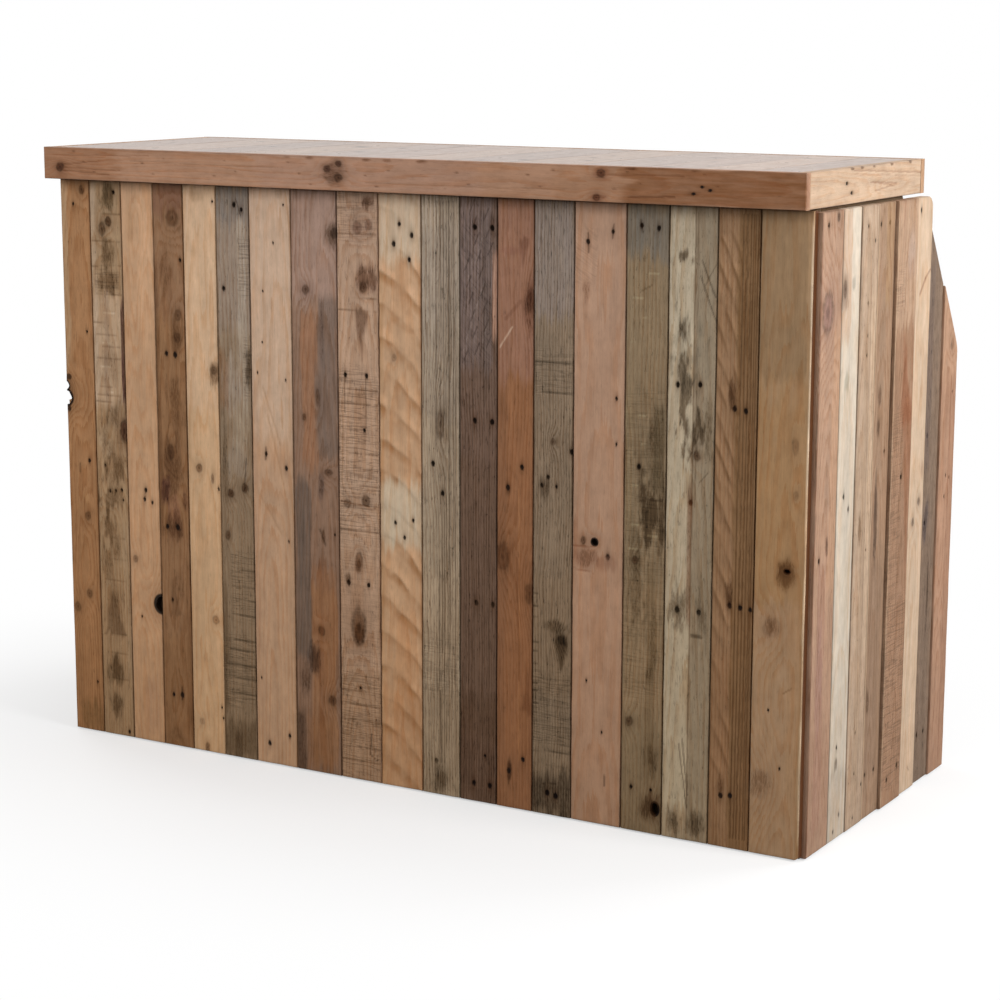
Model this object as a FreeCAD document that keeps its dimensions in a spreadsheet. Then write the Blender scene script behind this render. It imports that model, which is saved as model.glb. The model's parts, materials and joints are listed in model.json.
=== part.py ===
import FreeCAD, Part
import os
import re

import Sketcher

# Bar counter clad in reclaimed pallet boards: a plank front, two plank ends with a raked rear corner,
# half-lapped frames behind them, a work shelf and a thick lipped top.
# Millimetres, +Z up. The origin is on the floor under the middle of the counter, the plank front
# looks along -Y and the open service side is at +Y.

DIMENSIONS = {
    # Counter top
    "counter_height": 1100,
    "slab_thickness": 57,
    "slab_depth": 493,
    "slab_front_overhang": 40,
    "slab_end_overhang": 2,
    "lipping_thickness": 17,
    "top_board_thickness": 20,
    "top_board_gap": 0.6,
    "batten_width": 40,
    # Cladding
    "plank_gap": 1,
    "plank_floor_gap": 2,
    "arris": 1.2,
    "front_plank_thickness": 15,
    "front_plank_lap": 4,
    "front_plank_top_gap": 3,
    "end_plank_top_gap": 5.6,
    "end_corner_radius": 24,
    # Rake of the rear corner
    "rake_head_drop": 49,
    "rake_fall": 224,
    "rake_heel_radius": 60,
    "rake_rail_drop": 6,
    # Frames
    "timber_width": 60,
    "timber_thickness": 40,
    "corner_post_depth": 80,
    "housing_clearance": 0.2,
    # Work shelf
    "shelf_rail_drop": 12,
    "shelf_board_thickness": 20,
    "shelf_clearance": 1,
    # Countersunk bolts and flanged nuts of the end frames
    "bolt_diameter": 8,
    "bolt_hole_clearance": 0.6,
    "bolt_head_diameter": 16,
    "bolt_head_sink": 0.5,
    "bolt_thread_end": 3,
    "nut_flange_diameter": 24,
    "nut_flange_thickness": 2,
    "nut_width": 13,
    "nut_height": 6.5,
    # Knot-holes and the broken edge in the front planks
    "edge_notch_diameter": 27,
    "edge_notch_upper_diameter": 20,
    "edge_knot_hole_diameter": 32,
    "round_knot_hole_diameter": 12.5,
    "foot_knot_hole_diameter": 15,
    "worn_knot_hole_diameter": 11,
    # Overrun of every cutting tool
    "cut_overrun": 5,
}

# Front planks from left to right, end planks from front to back
FRONT_PLANK_WIDTHS = [67, 71, 72, 66, 72, 71, 88, 95, 84, 85, 75, 72, 69, 74, 94, 75, 84, 72, 88]
END_PLANK_WIDTHS = [84, 71, 70, 72, 89, 70, 69, 73]
END_PLANK_THICKNESSES = [12, 12, 13, 12, 17, 15, 12, 15]

# How many end planks, counted from the back, the rake cuts; the plank in front of them has a rounded corner
RAKED_PLANK_COUNT = 2

# Top boards from left to right, as shares of the length between the end lippings
TOP_BOARD_SHARES = [0.091, 0.095, 0.085, 0.083, 0.070, 0.071, 0.070, 0.085, 0.085, 0.082, 0.065, 0.063, 0.055]
SHELF_LONG_BOARDS = 4
NUT_SIDES = 6

# Front plank, places across its width and up its length as shares, diameter
KNOT_HOLE_SHARES = [
    (1, 0.0, 0.612, "edge_notch_diameter"),
    (1, -0.05, 0.633, "edge_notch_upper_diameter"),
    (3, 1.0, 0.256, "edge_knot_hole_diameter"),
    (15, 0.44, 0.464, "round_knot_hole_diameter"),
    (16, 0.86, 0.042, "foot_knot_hole_diameter"),
    (19, 0.65, 0.455, "worn_knot_hole_diameter"),
]

ALONG_X = FreeCAD.Vector(1, 0, 0)
ALONG_Y = FreeCAD.Vector(0, 1, 0)
QUARTER_TURN = 90

doc = FreeCAD.newDocument("BarCounter")
sheet = doc.addObject("Spreadsheet::Sheet", "Sheet")
aliases = set()
nodes = {}


def set_cell(alias, content):
    """Write one named cell of the sheet: a plain number, or a formula that starts with =."""
    row = len(aliases) + 1
    sheet.set(f"A{row}", alias)
    sheet.set(f"B{row}", str(content))
    sheet.setAlias(f"B{row}", alias)
    aliases.add(alias)


def qualified(expression):
    """The expression with every cell name pointed at the sheet."""
    return re.sub(r"[a-z_]\w*", lambda m: f"Sheet.{m[0]}" if m[0] in aliases else m[0], str(expression))


def bind(item, name, expression):
    item.setExpression(name, qualified(expression))


def size(expression):
    return float(sheet.evalExpression(qualified(expression)))


def place(item, x, y, z):
    """Bind the three coordinates of an object's placement."""
    for axis, expression in zip("xyz", (x, y, z)):
        bind(item, f"Placement.Base.{axis}", expression)


def fill_sheet():
    """Driving dimensions first, then what follows from them."""
    for alias, value in DIMENSIONS.items():
        set_cell(alias, value)
    for number, width in enumerate(FRONT_PLANK_WIDTHS, start=1):
        set_cell(f"front_plank_{number}_width", width)
    for number, width in enumerate(END_PLANK_WIDTHS, start=1):
        set_cell(f"end_plank_{number}_width", width)
    for number, thickness in enumerate(END_PLANK_THICKNESSES, start=1):
        set_cell(f"end_plank_{number}_thickness", thickness)

    set_cell("front_plank_1_start", 0)
    for number in range(1, len(FRONT_PLANK_WIDTHS) + 1):
        before = f"front_plank_{number}"
        set_cell(f"front_plank_{number + 1}_start", f"={before}_start + {before}_width + plank_gap")
    set_cell("front_width", f"=front_plank_{len(FRONT_PLANK_WIDTHS) + 1}_start - plank_gap")
    set_cell("half_width", "=front_width / 2")
    set_cell("frame_half", "=half_width - front_plank_lap")

    set_cell("end_plank_1_start", 0)
    for number in range(1, len(END_PLANK_WIDTHS) + 1):
        before = f"end_plank_{number}"
        set_cell(f"end_plank_{number + 1}_start", f"={before}_start + {before}_width + plank_gap")
    set_cell("end_depth", f"=end_plank_{len(END_PLANK_WIDTHS) + 1}_start - plank_gap")

    set_cell("cabinet_depth", "=front_plank_thickness + end_depth")
    set_cell("front_face", "=(slab_front_overhang - cabinet_depth) / 2")
    set_cell("frame_front", "=front_face + front_plank_thickness")
    set_cell("frame_back", "=front_face + cabinet_depth")
    set_cell("post_back", "=frame_front + corner_post_depth")
    set_cell("back_post_front", "=frame_back - timber_width")
    set_cell("lap", "=timber_thickness / 2")
    set_cell("lap_front", "=frame_front + lap")
    set_cell("bolt_head_height", "=(bolt_head_diameter - bolt_diameter) / 2")

    set_cell("slab_front", "=front_face - slab_front_overhang")
    set_cell("slab_back", "=slab_front + slab_depth")
    set_cell("slab_half", "=half_width + slab_end_overhang")
    set_cell("slab_bottom", "=counter_height - slab_thickness")
    set_cell("slab_inner_half", "=slab_half - lipping_thickness")

    set_cell("end_top", "=slab_bottom - end_plank_top_gap")
    set_cell("rake_head", "=end_top - rake_head_drop")
    set_cell("rake_foot", "=rake_head - rake_fall")
    last_square_plank = len(END_PLANK_WIDTHS) - RAKED_PLANK_COUNT
    set_cell("rake_run", f"=end_depth - end_plank_{last_square_plank + 1}_start")
    set_cell("rake_slope", "=rake_fall / rake_run")
    set_cell("rake_rail_top", "=end_top - rake_rail_drop")
    set_cell("rake_rail_foot", "=rake_foot - timber_width * sqrt(1 + rake_slope * rake_slope)")
    set_cell("shelf_height", "=rake_rail_foot - shelf_rail_drop")
    doc.recompute()


def under_rake(height):
    """How far in front of the frame's back the rake rail's lower edge is at that height."""
    return f"({height} - rake_rail_foot) / rake_slope"


def keep(label, item):
    """Register a finished sub-part under its own label."""
    item.Label = label
    nodes[label] = item
    return item


def box(label, x, y, z, length, width, height):
    """A squared timber or a square cutting tool with its low corner at x, y, z."""
    item = doc.addObject("Part::Box", label)
    for name, expression in zip(("Length", "Width", "Height"), (length, width, height)):
        bind(item, name, expression)
    place(item, x, y, z)
    return item


def rod(label, x, y, z, radius, height, axis, angle):
    """A round bar or drill whose own axis is turned by the angle about the axis."""
    item = doc.addObject("Part::Cylinder", label)
    bind(item, "Radius", radius)
    bind(item, "Height", height)
    item.Placement = FreeCAD.Placement(FreeCAD.Vector(), FreeCAD.Rotation(axis, angle))
    place(item, x, y, z)
    return item


def joined(kind, label, items):
    """A group of separate solids (Part::Compound) or one united tool (Part::MultiFuse)."""
    item = doc.addObject(kind, label)
    setattr(item, "Links" if kind == "Part::Compound" else "Shapes", items)
    return item


def cut(label, base, tools):
    """The base with the tools taken out of it."""
    item = doc.addObject("Part::Cut", label)
    item.Base = base
    item.Tool = tools[0] if len(tools) == 1 else joined("Part::MultiFuse", f"{label}_tools", tools)
    return item


def outline_sketch(body, plane, points):
    """A closed outline of straight edges on one of the body's origin planes, every corner dimensioned."""
    support = next(item for item in body.Origin.OriginFeatures if item.Role == plane)
    sketch = body.newObject("Sketcher::SketchObject", f"{body.Name}_outline")
    sketch.AttachmentSupport = [(support, "")]
    sketch.MapMode = "FlatFace"
    corners = [FreeCAD.Vector(size(u), size(v), 0) for u, v in points]
    for number, corner in enumerate(corners):
        sketch.addGeometry(Part.LineSegment(corner, corners[(number + 1) % len(corners)]), False)
    for number in range(len(points)):
        following = (number + 1) % len(points)
        sketch.addConstraint(Sketcher.Constraint("Coincident", number, 2, following, 1))
    for number, point in enumerate(points):
        for expression, kind, axis in zip(point, ("DistanceX", "DistanceY"), (-2, -1)):
            if expression == "0":
                sketch.addConstraint(Sketcher.Constraint("PointOnObject", number, 1, axis))
                continue
            constraint = Sketcher.Constraint(kind, -1, 1, number, 1, size(expression))
            bind(sketch, f"Constraints[{sketch.addConstraint(constraint)}]", expression)
    return sketch


def face_towards(shape, direction):
    """Name of the flat face that looks along the direction."""
    for number, face in enumerate(shape.Faces, start=1):
        if face.normalAt(0, 0).dot(direction) > 1 - Part.Precision.confusion():
            return f"Face{number}"
    raise ValueError("no face looks that way")


def edge_through(shape, corner):
    """Name of the straight edge across the board's thickness whose end is nearest the corner."""
    def distance(pair):
        return min(vertex.Point.distanceToPoint(corner) for vertex in pair[1].Vertexes)

    def runs_across(edge):
        return abs(edge.tangentAt(edge.FirstParameter).x) > 1 - Part.Precision.confusion()

    numbered = [(number, edge) for number, edge in enumerate(shape.Edges, start=1) if runs_across(edge)]
    return f"Edge{min(numbered, key=distance)[0]}"


def board(label, plane, points, thickness, outward=None, reverse=False, rounding=None):
    """A board sawn to an outline.

    The outline lies on an origin plane and is padded by the thickness. The edges round the face that
    looks outward are eased by the arris, and rounding gives one corner of the outline a radius.
    """
    body = doc.addObject("PartDesign::Body", label)
    pad = body.newObject("PartDesign::Pad", f"{label}_pad")
    pad.Profile = outline_sketch(body, plane, points)
    pad.Reversed = reverse
    bind(pad, "Length", thickness)
    doc.recompute()
    last = pad
    if rounding:
        (u, v), radius = rounding
        fillet = body.newObject("PartDesign::Fillet", f"{label}_corner")
        fillet.Base = (pad, [edge_through(pad.Shape, FreeCAD.Vector(0, size(u), size(v)))])
        bind(fillet, "Radius", radius)
        doc.recompute()
        last = fillet
    if outward:
        chamfer = body.newObject("PartDesign::Chamfer", f"{label}_arris")
        chamfer.Base = (last, [face_towards(last.Shape, outward)])
        bind(chamfer, "Size", "arris")
    return body


def rectangle(width, height):
    return [("0", "0"), (width, "0"), (width, height), ("0", height)]


def make_front_planks():
    length = "(slab_bottom - front_plank_top_gap - plank_floor_gap)"
    for number in range(1, len(FRONT_PLANK_WIDTHS) + 1):
        label = f"front_plank_{number:02d}"
        width = f"front_plank_{number}_width"
        left = f"front_plank_{number}_start - half_width"
        outline = rectangle(width, length)
        plank = board(f"{label}_board", "XZ_Plane", outline, "front_plank_thickness", -ALONG_Y)
        place(plank, left, "frame_front", "plank_floor_gap")
        drills = []
        for holed, across_share, height_share, diameter in KNOT_HOLE_SHARES:
            if holed == number:
                x = f"{left} + {across_share} * {width}"
                z = f"plank_floor_gap + {height_share} * {length}"
                drills.append(rod(f"{label}_knot_hole", x, "frame_front + cut_overrun", z, f"{diameter} / 2",
                                  "front_plank_thickness + 2 * cut_overrun", ALONG_X, QUARTER_TURN))
        keep(label, cut(f"{label}_cut", plank, drills) if drills else plank)


def raked_height(distance):
    """Height above the planks' feet of the rake at that distance behind the first end plank's front edge."""
    return f"rake_foot + rake_slope * (end_depth - ({distance})) - plank_floor_gap"


def make_end_planks(side, sign):
    full = "end_top - plank_floor_gap"
    last_square_plank = len(END_PLANK_WIDTHS) - RAKED_PLANK_COUNT
    for number in range(1, len(END_PLANK_WIDTHS) + 1):
        name = f"end_plank_{number}"
        width = f"{name}_width"
        outline = rectangle(width, full)
        rounding = None
        if number > last_square_plank:
            back_height = raked_height(f"{name}_start + {width}")
            outline = [("0", "0"), (width, "0"), (width, back_height), ("0", raked_height(f"{name}_start"))]
        if number == last_square_plank:
            rounding = ((width, full), "end_corner_radius")
        if number == len(END_PLANK_WIDTHS):
            rounding = ((width, back_height), "rake_heel_radius")
        plank = board(f"{side}_{name}", "YZ_Plane", outline, f"{name}_thickness", ALONG_X * sign,
                      reverse=sign < 0, rounding=rounding)
        place(plank, f"{sign} * frame_half", f"frame_front + {name}_start", "plank_floor_gap")
        keep(f"{side}_{name}", plank)


def make_lippings():
    long_outline = rectangle("2 * slab_half", "slab_thickness")
    front_inner = "slab_front + lipping_thickness"
    for label, back_face, outward in (("front", front_inner, -ALONG_Y), ("back", "slab_back", ALONG_Y)):
        lipping = board(f"top_{label}_lipping", "XZ_Plane", long_outline, "lipping_thickness", outward)
        place(lipping, "-slab_half", back_face, "slab_bottom")
        keep(f"top_{label}_lipping", lipping)
    short_outline = rectangle("slab_depth - 2 * lipping_thickness", "slab_thickness")
    for label, sign in (("right", 1), ("left", -1)):
        lipping = board(f"top_{label}_lipping", "YZ_Plane", short_outline, "lipping_thickness",
                        ALONG_X * sign, reverse=sign < 0)
        place(lipping, f"{sign} * slab_inner_half", front_inner, "slab_bottom")
        keep(f"top_{label}_lipping", lipping)


def make_top_boards():
    """Boards laid front to back between the lippings, on three battens that run the other way."""
    usable = f"(2 * slab_inner_half - {len(TOP_BOARD_SHARES) - 1} * top_board_gap)"
    boards = []
    for number, share in enumerate(TOP_BOARD_SHARES):
        start_share = sum(TOP_BOARD_SHARES[:number])
        x = f"{start_share:.3f} * {usable} + {number} * top_board_gap - slab_inner_half"
        y = "slab_front + lipping_thickness"
        z = "counter_height - top_board_thickness"
        boards.append(box("top_board", x, y, z, f"{share} * {usable}", "slab_depth - 2 * lipping_thickness",
                          "top_board_thickness"))
    keep("top_boards", joined("Part::Compound", "top_boards", boards))

    back = "(slab_back - lipping_thickness - batten_width)"
    battens = [box("top_batten", "-slab_inner_half", y, "slab_bottom", "2 * slab_inner_half", "batten_width",
                   "slab_thickness - top_board_thickness")
               for y in ("frame_front", f"(frame_front + {back}) / 2", back)]
    keep("top_battens", joined("Part::Compound", "top_battens", battens))


# Lower edge of each rail of the frames
RAIL_HEIGHTS = {"bottom": "0", "middle": "shelf_height - timber_width", "top": "slab_bottom - timber_width"}


def make_front_rails():
    """Rails across the front, halved at the back where they lie in the corner posts."""
    for name, z in RAIL_HEIGHTS.items():
        label = f"front_{name}_rail"
        rail = box(f"{label}_timber", "-frame_half", "frame_front", z, "2 * frame_half", "timber_thickness",
                   "timber_width")
        laps = [box(f"{label}_lap", x, "lap_front", f"{z} - cut_overrun", "timber_thickness + cut_overrun",
                    "lap + cut_overrun", "timber_width + 2 * cut_overrun")
                for x in ("frame_half - timber_thickness", "-frame_half - cut_overrun")]
        keep(label, cut(label, rail, laps))


def low_side(sign, inner, outer):
    """Low x of a span between two distances from the middle, on the right (1) or the left (-1)."""
    return f"({inner})" if sign > 0 else f"-({outer})"


# Bolt through the half-lap of an end rail with its corner post, clear of the front rail, and its back post
LAP_MIDDLES = {
    "corner": "(frame_front + timber_thickness + post_back) / 2",
    "back": "frame_back - timber_width / 2",
}


def bolt_place(post, rail):
    """Depth and height of the bolt through the half-lap of a rail with a post."""
    return LAP_MIDDLES[post], f"{RAIL_HEIGHTS[rail]} + timber_width / 2"


def bolt_hole(sign, y, z):
    """Drill for the shank of one bolt, through the lap and the nut."""
    return rod("bolt_hole", f"{sign} * (frame_half + cut_overrun)", y, z,
               "(bolt_diameter + bolt_hole_clearance) / 2",
               "timber_thickness + nut_flange_thickness + nut_height + 2 * cut_overrun",
               ALONG_Y, -sign * QUARTER_TURN)


def taper(label, sign, x, y, z, wide_diameter, sunk):
    """A countersink or a bolt head that narrows inwards to the shank, begun so far above the sunk head."""
    item = doc.addObject("Part::Cone", label)
    bind(item, "Radius1", f"{wide_diameter} / 2 + {sunk}")
    bind(item, "Radius2", f"{wide_diameter} / 2 - bolt_head_height")
    bind(item, "Height", f"bolt_head_height + {sunk}")
    item.Placement.Rotation = FreeCAD.Rotation(ALONG_Y, -sign * QUARTER_TURN)
    place(item, x, y, z)
    return item


def post_drills(sign, post, rails):
    """Drills for the bolts of one post, with the countersinks of their heads in the outer face."""
    drills = []
    for rail in rails:
        y, z = bolt_place(post, rail)
        drills.append(bolt_hole(sign, y, z))
        drills.append(taper("countersink", sign, f"{sign} * (frame_half + cut_overrun)", y, z,
                            "(bolt_head_diameter + bolt_hole_clearance)", "(bolt_head_sink + cut_overrun)"))
    return drills


def end_housing(sign, front, depth, z):
    """Tool for the housing of an end rail's tongue in the inner half of a post."""
    low = low_side(sign, "frame_half - timber_thickness - cut_overrun", "frame_half - lap")
    return box("end_housing", low, front, f"{z} - housing_clearance", "lap + cut_overrun", depth,
               "timber_width + 2 * housing_clearance")


def make_corner_post(side, sign):
    """Post that takes the front rails in its front half and the end rails in its inner half."""
    low = low_side(sign, "frame_half - timber_thickness", "frame_half")
    post = box(f"{side}_corner_timber", low, "frame_front", "0", "timber_thickness",
               "corner_post_depth", "slab_bottom")
    tools = post_drills(sign, "corner", RAIL_HEIGHTS)
    for z in RAIL_HEIGHTS.values():
        tools.append(box("front_housing", f"{low} - cut_overrun", "frame_front - cut_overrun",
                         f"{z} - housing_clearance", "timber_thickness + 2 * cut_overrun",
                         "lap + cut_overrun", "timber_width + 2 * housing_clearance"))
        tools.append(end_housing(sign, "lap_front", "corner_post_depth - lap + cut_overrun", z))
    keep(f"{side}_corner_post", cut(f"{side}_corner_post", post, tools))


def make_back_post(side, sign):
    """Rear post of an end frame, its head sawn to the slope of the rake rail that stands on it."""
    head = "rake_rail_foot + rake_slope * timber_width"
    outline = [("0", "0"), ("timber_width", "0"), ("timber_width", "rake_rail_foot"), ("0", head)]
    post = board(f"{side}_back_timber", "YZ_Plane", outline, "timber_thickness", reverse=sign > 0)
    place(post, f"{sign} * frame_half", "back_post_front", "0")
    tools = post_drills(sign, "back", ("bottom", "middle"))
    for name in ("bottom", "middle"):
        tools.append(end_housing(sign, "back_post_front - cut_overrun", "timber_width + 2 * cut_overrun",
                                 RAIL_HEIGHTS[name]))
    keep(f"{side}_end_back_post", cut(f"{side}_end_back_post", post, tools))


def outer_lap(sign, front, depth, z):
    """Tool that halves an end rail from the outside, which leaves its tongue."""
    low = low_side(sign, "frame_half - lap", "frame_half + cut_overrun")
    return box("outer_lap", low, front, f"{z} - cut_overrun", "lap + cut_overrun", depth,
               "timber_width + 2 * cut_overrun")


def make_end_rails(side, sign):
    """Bottom, shelf and top rail of one end frame."""
    front_lap_depth = "corner_post_depth - lap + cut_overrun"
    for name, z in RAIL_HEIGHTS.items():
        label = f"{side}_end_{name}_rail"
        tools = [outer_lap(sign, "lap_front - cut_overrun", front_lap_depth, z),
                 bolt_hole(sign, *bolt_place("corner", name))]
        if name == "top":
            lower_length = f"frame_back - {under_rake('(slab_bottom - timber_width)')} - lap_front"
            upper_length = f"frame_back - {under_rake('slab_bottom')} - lap_front"
            outline = [("0", "0"), (lower_length, "0"), (upper_length, "timber_width"), ("0", "timber_width")]
            rail = board(f"{label}_timber", "YZ_Plane", outline, "timber_thickness", reverse=sign > 0)
            place(rail, f"{sign} * frame_half", "lap_front", z)
        else:
            low = low_side(sign, "frame_half - timber_thickness", "frame_half")
            rail = box(f"{label}_timber", low, "lap_front", z, "timber_thickness", "frame_back - lap_front",
                       "timber_width")
            tools += [outer_lap(sign, "back_post_front", "timber_width + cut_overrun", z),
                      bolt_hole(sign, *bolt_place("back", name))]
        keep(label, cut(label, rail, tools))


def make_rake_rail(side, sign):
    """Sloping rail behind the raked planks: it stands on the back post and butts the top rail's end."""
    head_front = under_rake("rake_rail_top")
    head_back = "(rake_rail_top - rake_foot) / rake_slope"
    top = "rake_rail_top - rake_rail_foot"
    heel = "rake_foot - rake_rail_foot"
    outline = [(head_front, "0"), (head_front, heel), (f"{head_front} - {head_back}", top), ("0", top)]
    rail = board(f"{side}_end_rake_rail", "YZ_Plane", outline, "timber_thickness", reverse=sign > 0,
                 rounding=((head_front, heel), "rake_heel_radius"))
    place(rail, f"{sign} * frame_half", f"frame_back - {head_front}", "rake_rail_foot")
    keep(f"{side}_end_rake_rail", rail)


def make_shelf():
    """Shelf boards on the middle rails of the three frames, and the rail under their rear edge."""
    short_half = "(frame_half - timber_thickness - shelf_clearance)"
    long_half = "(frame_half - shelf_clearance)"
    boards = [box("shelf_short_board", f"-{short_half}", "frame_front + shelf_clearance", "shelf_height",
                  f"2 * {short_half}", "corner_post_depth - shelf_clearance", "shelf_board_thickness")]
    pitch = f"(back_post_front - post_back - shelf_clearance) / {SHELF_LONG_BOARDS}"
    for number in range(SHELF_LONG_BOARDS):
        y = f"post_back + shelf_clearance + {number} * {pitch}"
        boards.append(box("shelf_long_board", f"-{long_half}", y, "shelf_height", f"2 * {long_half}",
                          f"{pitch} - shelf_clearance", "shelf_board_thickness"))
    keep("shelf_boards", joined("Part::Compound", "shelf_boards", boards))
    half = "(frame_half - timber_thickness)"
    rail = box("shelf_back_rail", f"-{half}", "back_post_front - timber_thickness", RAIL_HEIGHTS["middle"],
               f"2 * {half}", "timber_thickness", "timber_width")
    keep("shelf_back_rail", rail)


def make_bolts():
    """Bolts through the half-laps, heads sunk under the end planks, flanged nuts on the inside."""
    bolts, nuts = [], []
    places = [("corner", name) for name in RAIL_HEIGHTS] + [("back", "bottom"), ("back", "middle")]
    for sign in (1, -1):
        inward = -sign * QUARTER_TURN
        head_face = f"{sign} * (frame_half - bolt_head_sink)"
        inner_face = f"{sign} * (frame_half - timber_thickness)"
        for post, rail in places:
            y, z = bolt_place(post, rail)
            length = "timber_thickness - bolt_head_sink + nut_flange_thickness + nut_height + bolt_thread_end"
            shank = rod("bolt_shank", head_face, y, z, "bolt_diameter / 2", length, ALONG_Y, inward)
            head = taper("bolt_head", sign, head_face, y, z, "bolt_head_diameter", "0")
            bolts.append(joined("Part::MultiFuse", "bolt", [shank, head]))

            flange = rod("nut_flange", inner_face, y, z, "nut_flange_diameter / 2", "nut_flange_thickness",
                         ALONG_Y, inward)
            prism = doc.addObject("Part::Prism", "nut_prism")
            prism.Polygon = NUT_SIDES
            bind(prism, "Circumradius", "nut_width / sqrt(3)")
            bind(prism, "Height", "nut_flange_thickness + nut_height")
            prism.Placement.Rotation = FreeCAD.Rotation(ALONG_Y, inward)
            place(prism, inner_face, y, z)
            blank = joined("Part::MultiFuse", "nut_blank", [flange, prism])
            nuts.append(cut("nut", blank, [bolt_hole(sign, y, z)]))
    keep("frame_bolts", joined("Part::Compound", "frame_bolts", bolts))
    keep("frame_nuts", joined("Part::Compound", "frame_nuts", nuts))


def check_and_write():
    """Stop on any failed object, then write one file per sub-part."""
    doc.recompute()
    for item in doc.Objects:
        if "Invalid" in item.State or "Error" in item.State:
            raise RuntimeError(f"{item.Label} failed: {item.State}")
    for label, item in nodes.items():
        if item.Shape.isNull() or not item.Shape.isValid() or not item.Shape.Solids:
            raise RuntimeError(f"{label} has no valid solid")
    os.makedirs("parts", exist_ok=True)
    for label, item in nodes.items():
        item.Shape.exportStep(f"parts/{label}.step")
    print(len(nodes), "sub-parts written")


fill_sheet()
make_front_planks()
make_lippings()
make_top_boards()
make_front_rails()
for side_name, side_sign in (("right", 1), ("left", -1)):
    make_end_planks(side_name, side_sign)
    make_corner_post(side_name, side_sign)
    make_back_post(side_name, side_sign)
    make_end_rails(side_name, side_sign)
    make_rake_rail(side_name, side_sign)
make_shelf()
make_bolts()
check_and_write()
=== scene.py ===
"""Looks of a bar counter clad in reclaimed pallet boards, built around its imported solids."""

import json
import logging
import math
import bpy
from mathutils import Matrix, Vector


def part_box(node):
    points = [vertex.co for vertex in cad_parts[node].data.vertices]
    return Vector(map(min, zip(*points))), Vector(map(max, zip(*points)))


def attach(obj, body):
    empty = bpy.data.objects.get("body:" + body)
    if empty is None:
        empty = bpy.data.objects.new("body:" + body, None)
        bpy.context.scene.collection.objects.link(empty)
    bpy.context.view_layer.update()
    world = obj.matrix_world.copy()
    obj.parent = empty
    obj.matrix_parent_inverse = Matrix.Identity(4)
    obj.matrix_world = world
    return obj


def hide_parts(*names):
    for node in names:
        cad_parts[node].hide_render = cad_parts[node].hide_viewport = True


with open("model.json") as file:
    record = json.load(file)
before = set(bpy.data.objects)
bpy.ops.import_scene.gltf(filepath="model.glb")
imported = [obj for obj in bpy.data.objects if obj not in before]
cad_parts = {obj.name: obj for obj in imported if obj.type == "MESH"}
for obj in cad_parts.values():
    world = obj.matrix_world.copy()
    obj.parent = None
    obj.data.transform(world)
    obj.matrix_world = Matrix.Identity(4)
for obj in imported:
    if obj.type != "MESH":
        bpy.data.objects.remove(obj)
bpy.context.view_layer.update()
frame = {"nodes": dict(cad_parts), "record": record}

import zlib
from dataclasses import dataclass
from enum import Enum

import bmesh
import bpy
import numpy as np
from mathutils import Matrix, Vector

MM = 0.001
# half way up the counter, in millimetres, and how far from there the painted light, paler above and darker
# below, is full
MID_HEIGHT = 520
PAINTED_LIGHT_REACH = 500
# colours with a lower mean than this are dark and take on the warmth of the wood
DARK_LEVEL = 0.1
DARK_WARMTH = (1.08, 0.95, 0.78)
LOG = logging.getLogger("counter")


def linear(code: str) -> np.ndarray:
    """Turns an sRGB hex colour into linear red, green and blue."""
    c = np.array([int(code[i : i + 2], 16) for i in (0, 2, 4)]) / 255
    return np.where(c <= 0.04045, c / 12.92, ((c + 0.055) / 1.055) ** 2.4)


def ease(start: float, end: float, x: np.ndarray) -> np.ndarray:
    """Rises smoothly from 0 where x is start to 1 where x is end."""
    t = np.clip((x - start) / (end - start), 0, 1)
    return t * t * (3 - 2 * t)


def lattice(i: np.ndarray, j: np.ndarray, seed: int) -> np.ndarray:
    """Gives each cell of a grid its own steady number from -1 to 1.

    Args:
        i: whole-number columns.
        j: whole-number rows.
        seed: another seed gives another field.

    Returns:
        One number per cell.
    """
    n = (i * 374761393 + j * 668265263 + (seed % 65521) * 974711) & 0xFFFFFFFF
    n = ((n ^ (n >> 13)) * 1274126177) & 0xFFFFFFFF
    return ((n ^ (n >> 16)) & 0xFFFF) / 32767.5 - 1


def noise(x: np.ndarray, y: np.ndarray, seed: int) -> np.ndarray:
    """Smooth noise from -1 to 1, with two finer layers on it.

    Args:
        x: position across, in cells.
        y: position along, in cells.
        seed: another seed gives another field.

    Returns:
        One value per position.
    """
    total = np.zeros(np.shape(x))
    for layer, weight in enumerate((0.57, 0.28, 0.15)):
        px, py = x * 2**layer + 17.3 * layer, y * 2**layer + 5.1 * layer
        i, j = np.floor(px).astype(np.int64), np.floor(py).astype(np.int64)
        a, b = ease(0, 1, px - i), ease(0, 1, py - j)
        low = lattice(i, j, seed + layer) * (1 - a) + lattice(i + 1, j, seed + layer) * a
        high = lattice(i, j + 1, seed + layer) * (1 - a) + lattice(i + 1, j + 1, seed + layer) * a
        total += weight * (low * (1 - b) + high * b)
    return total


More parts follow.
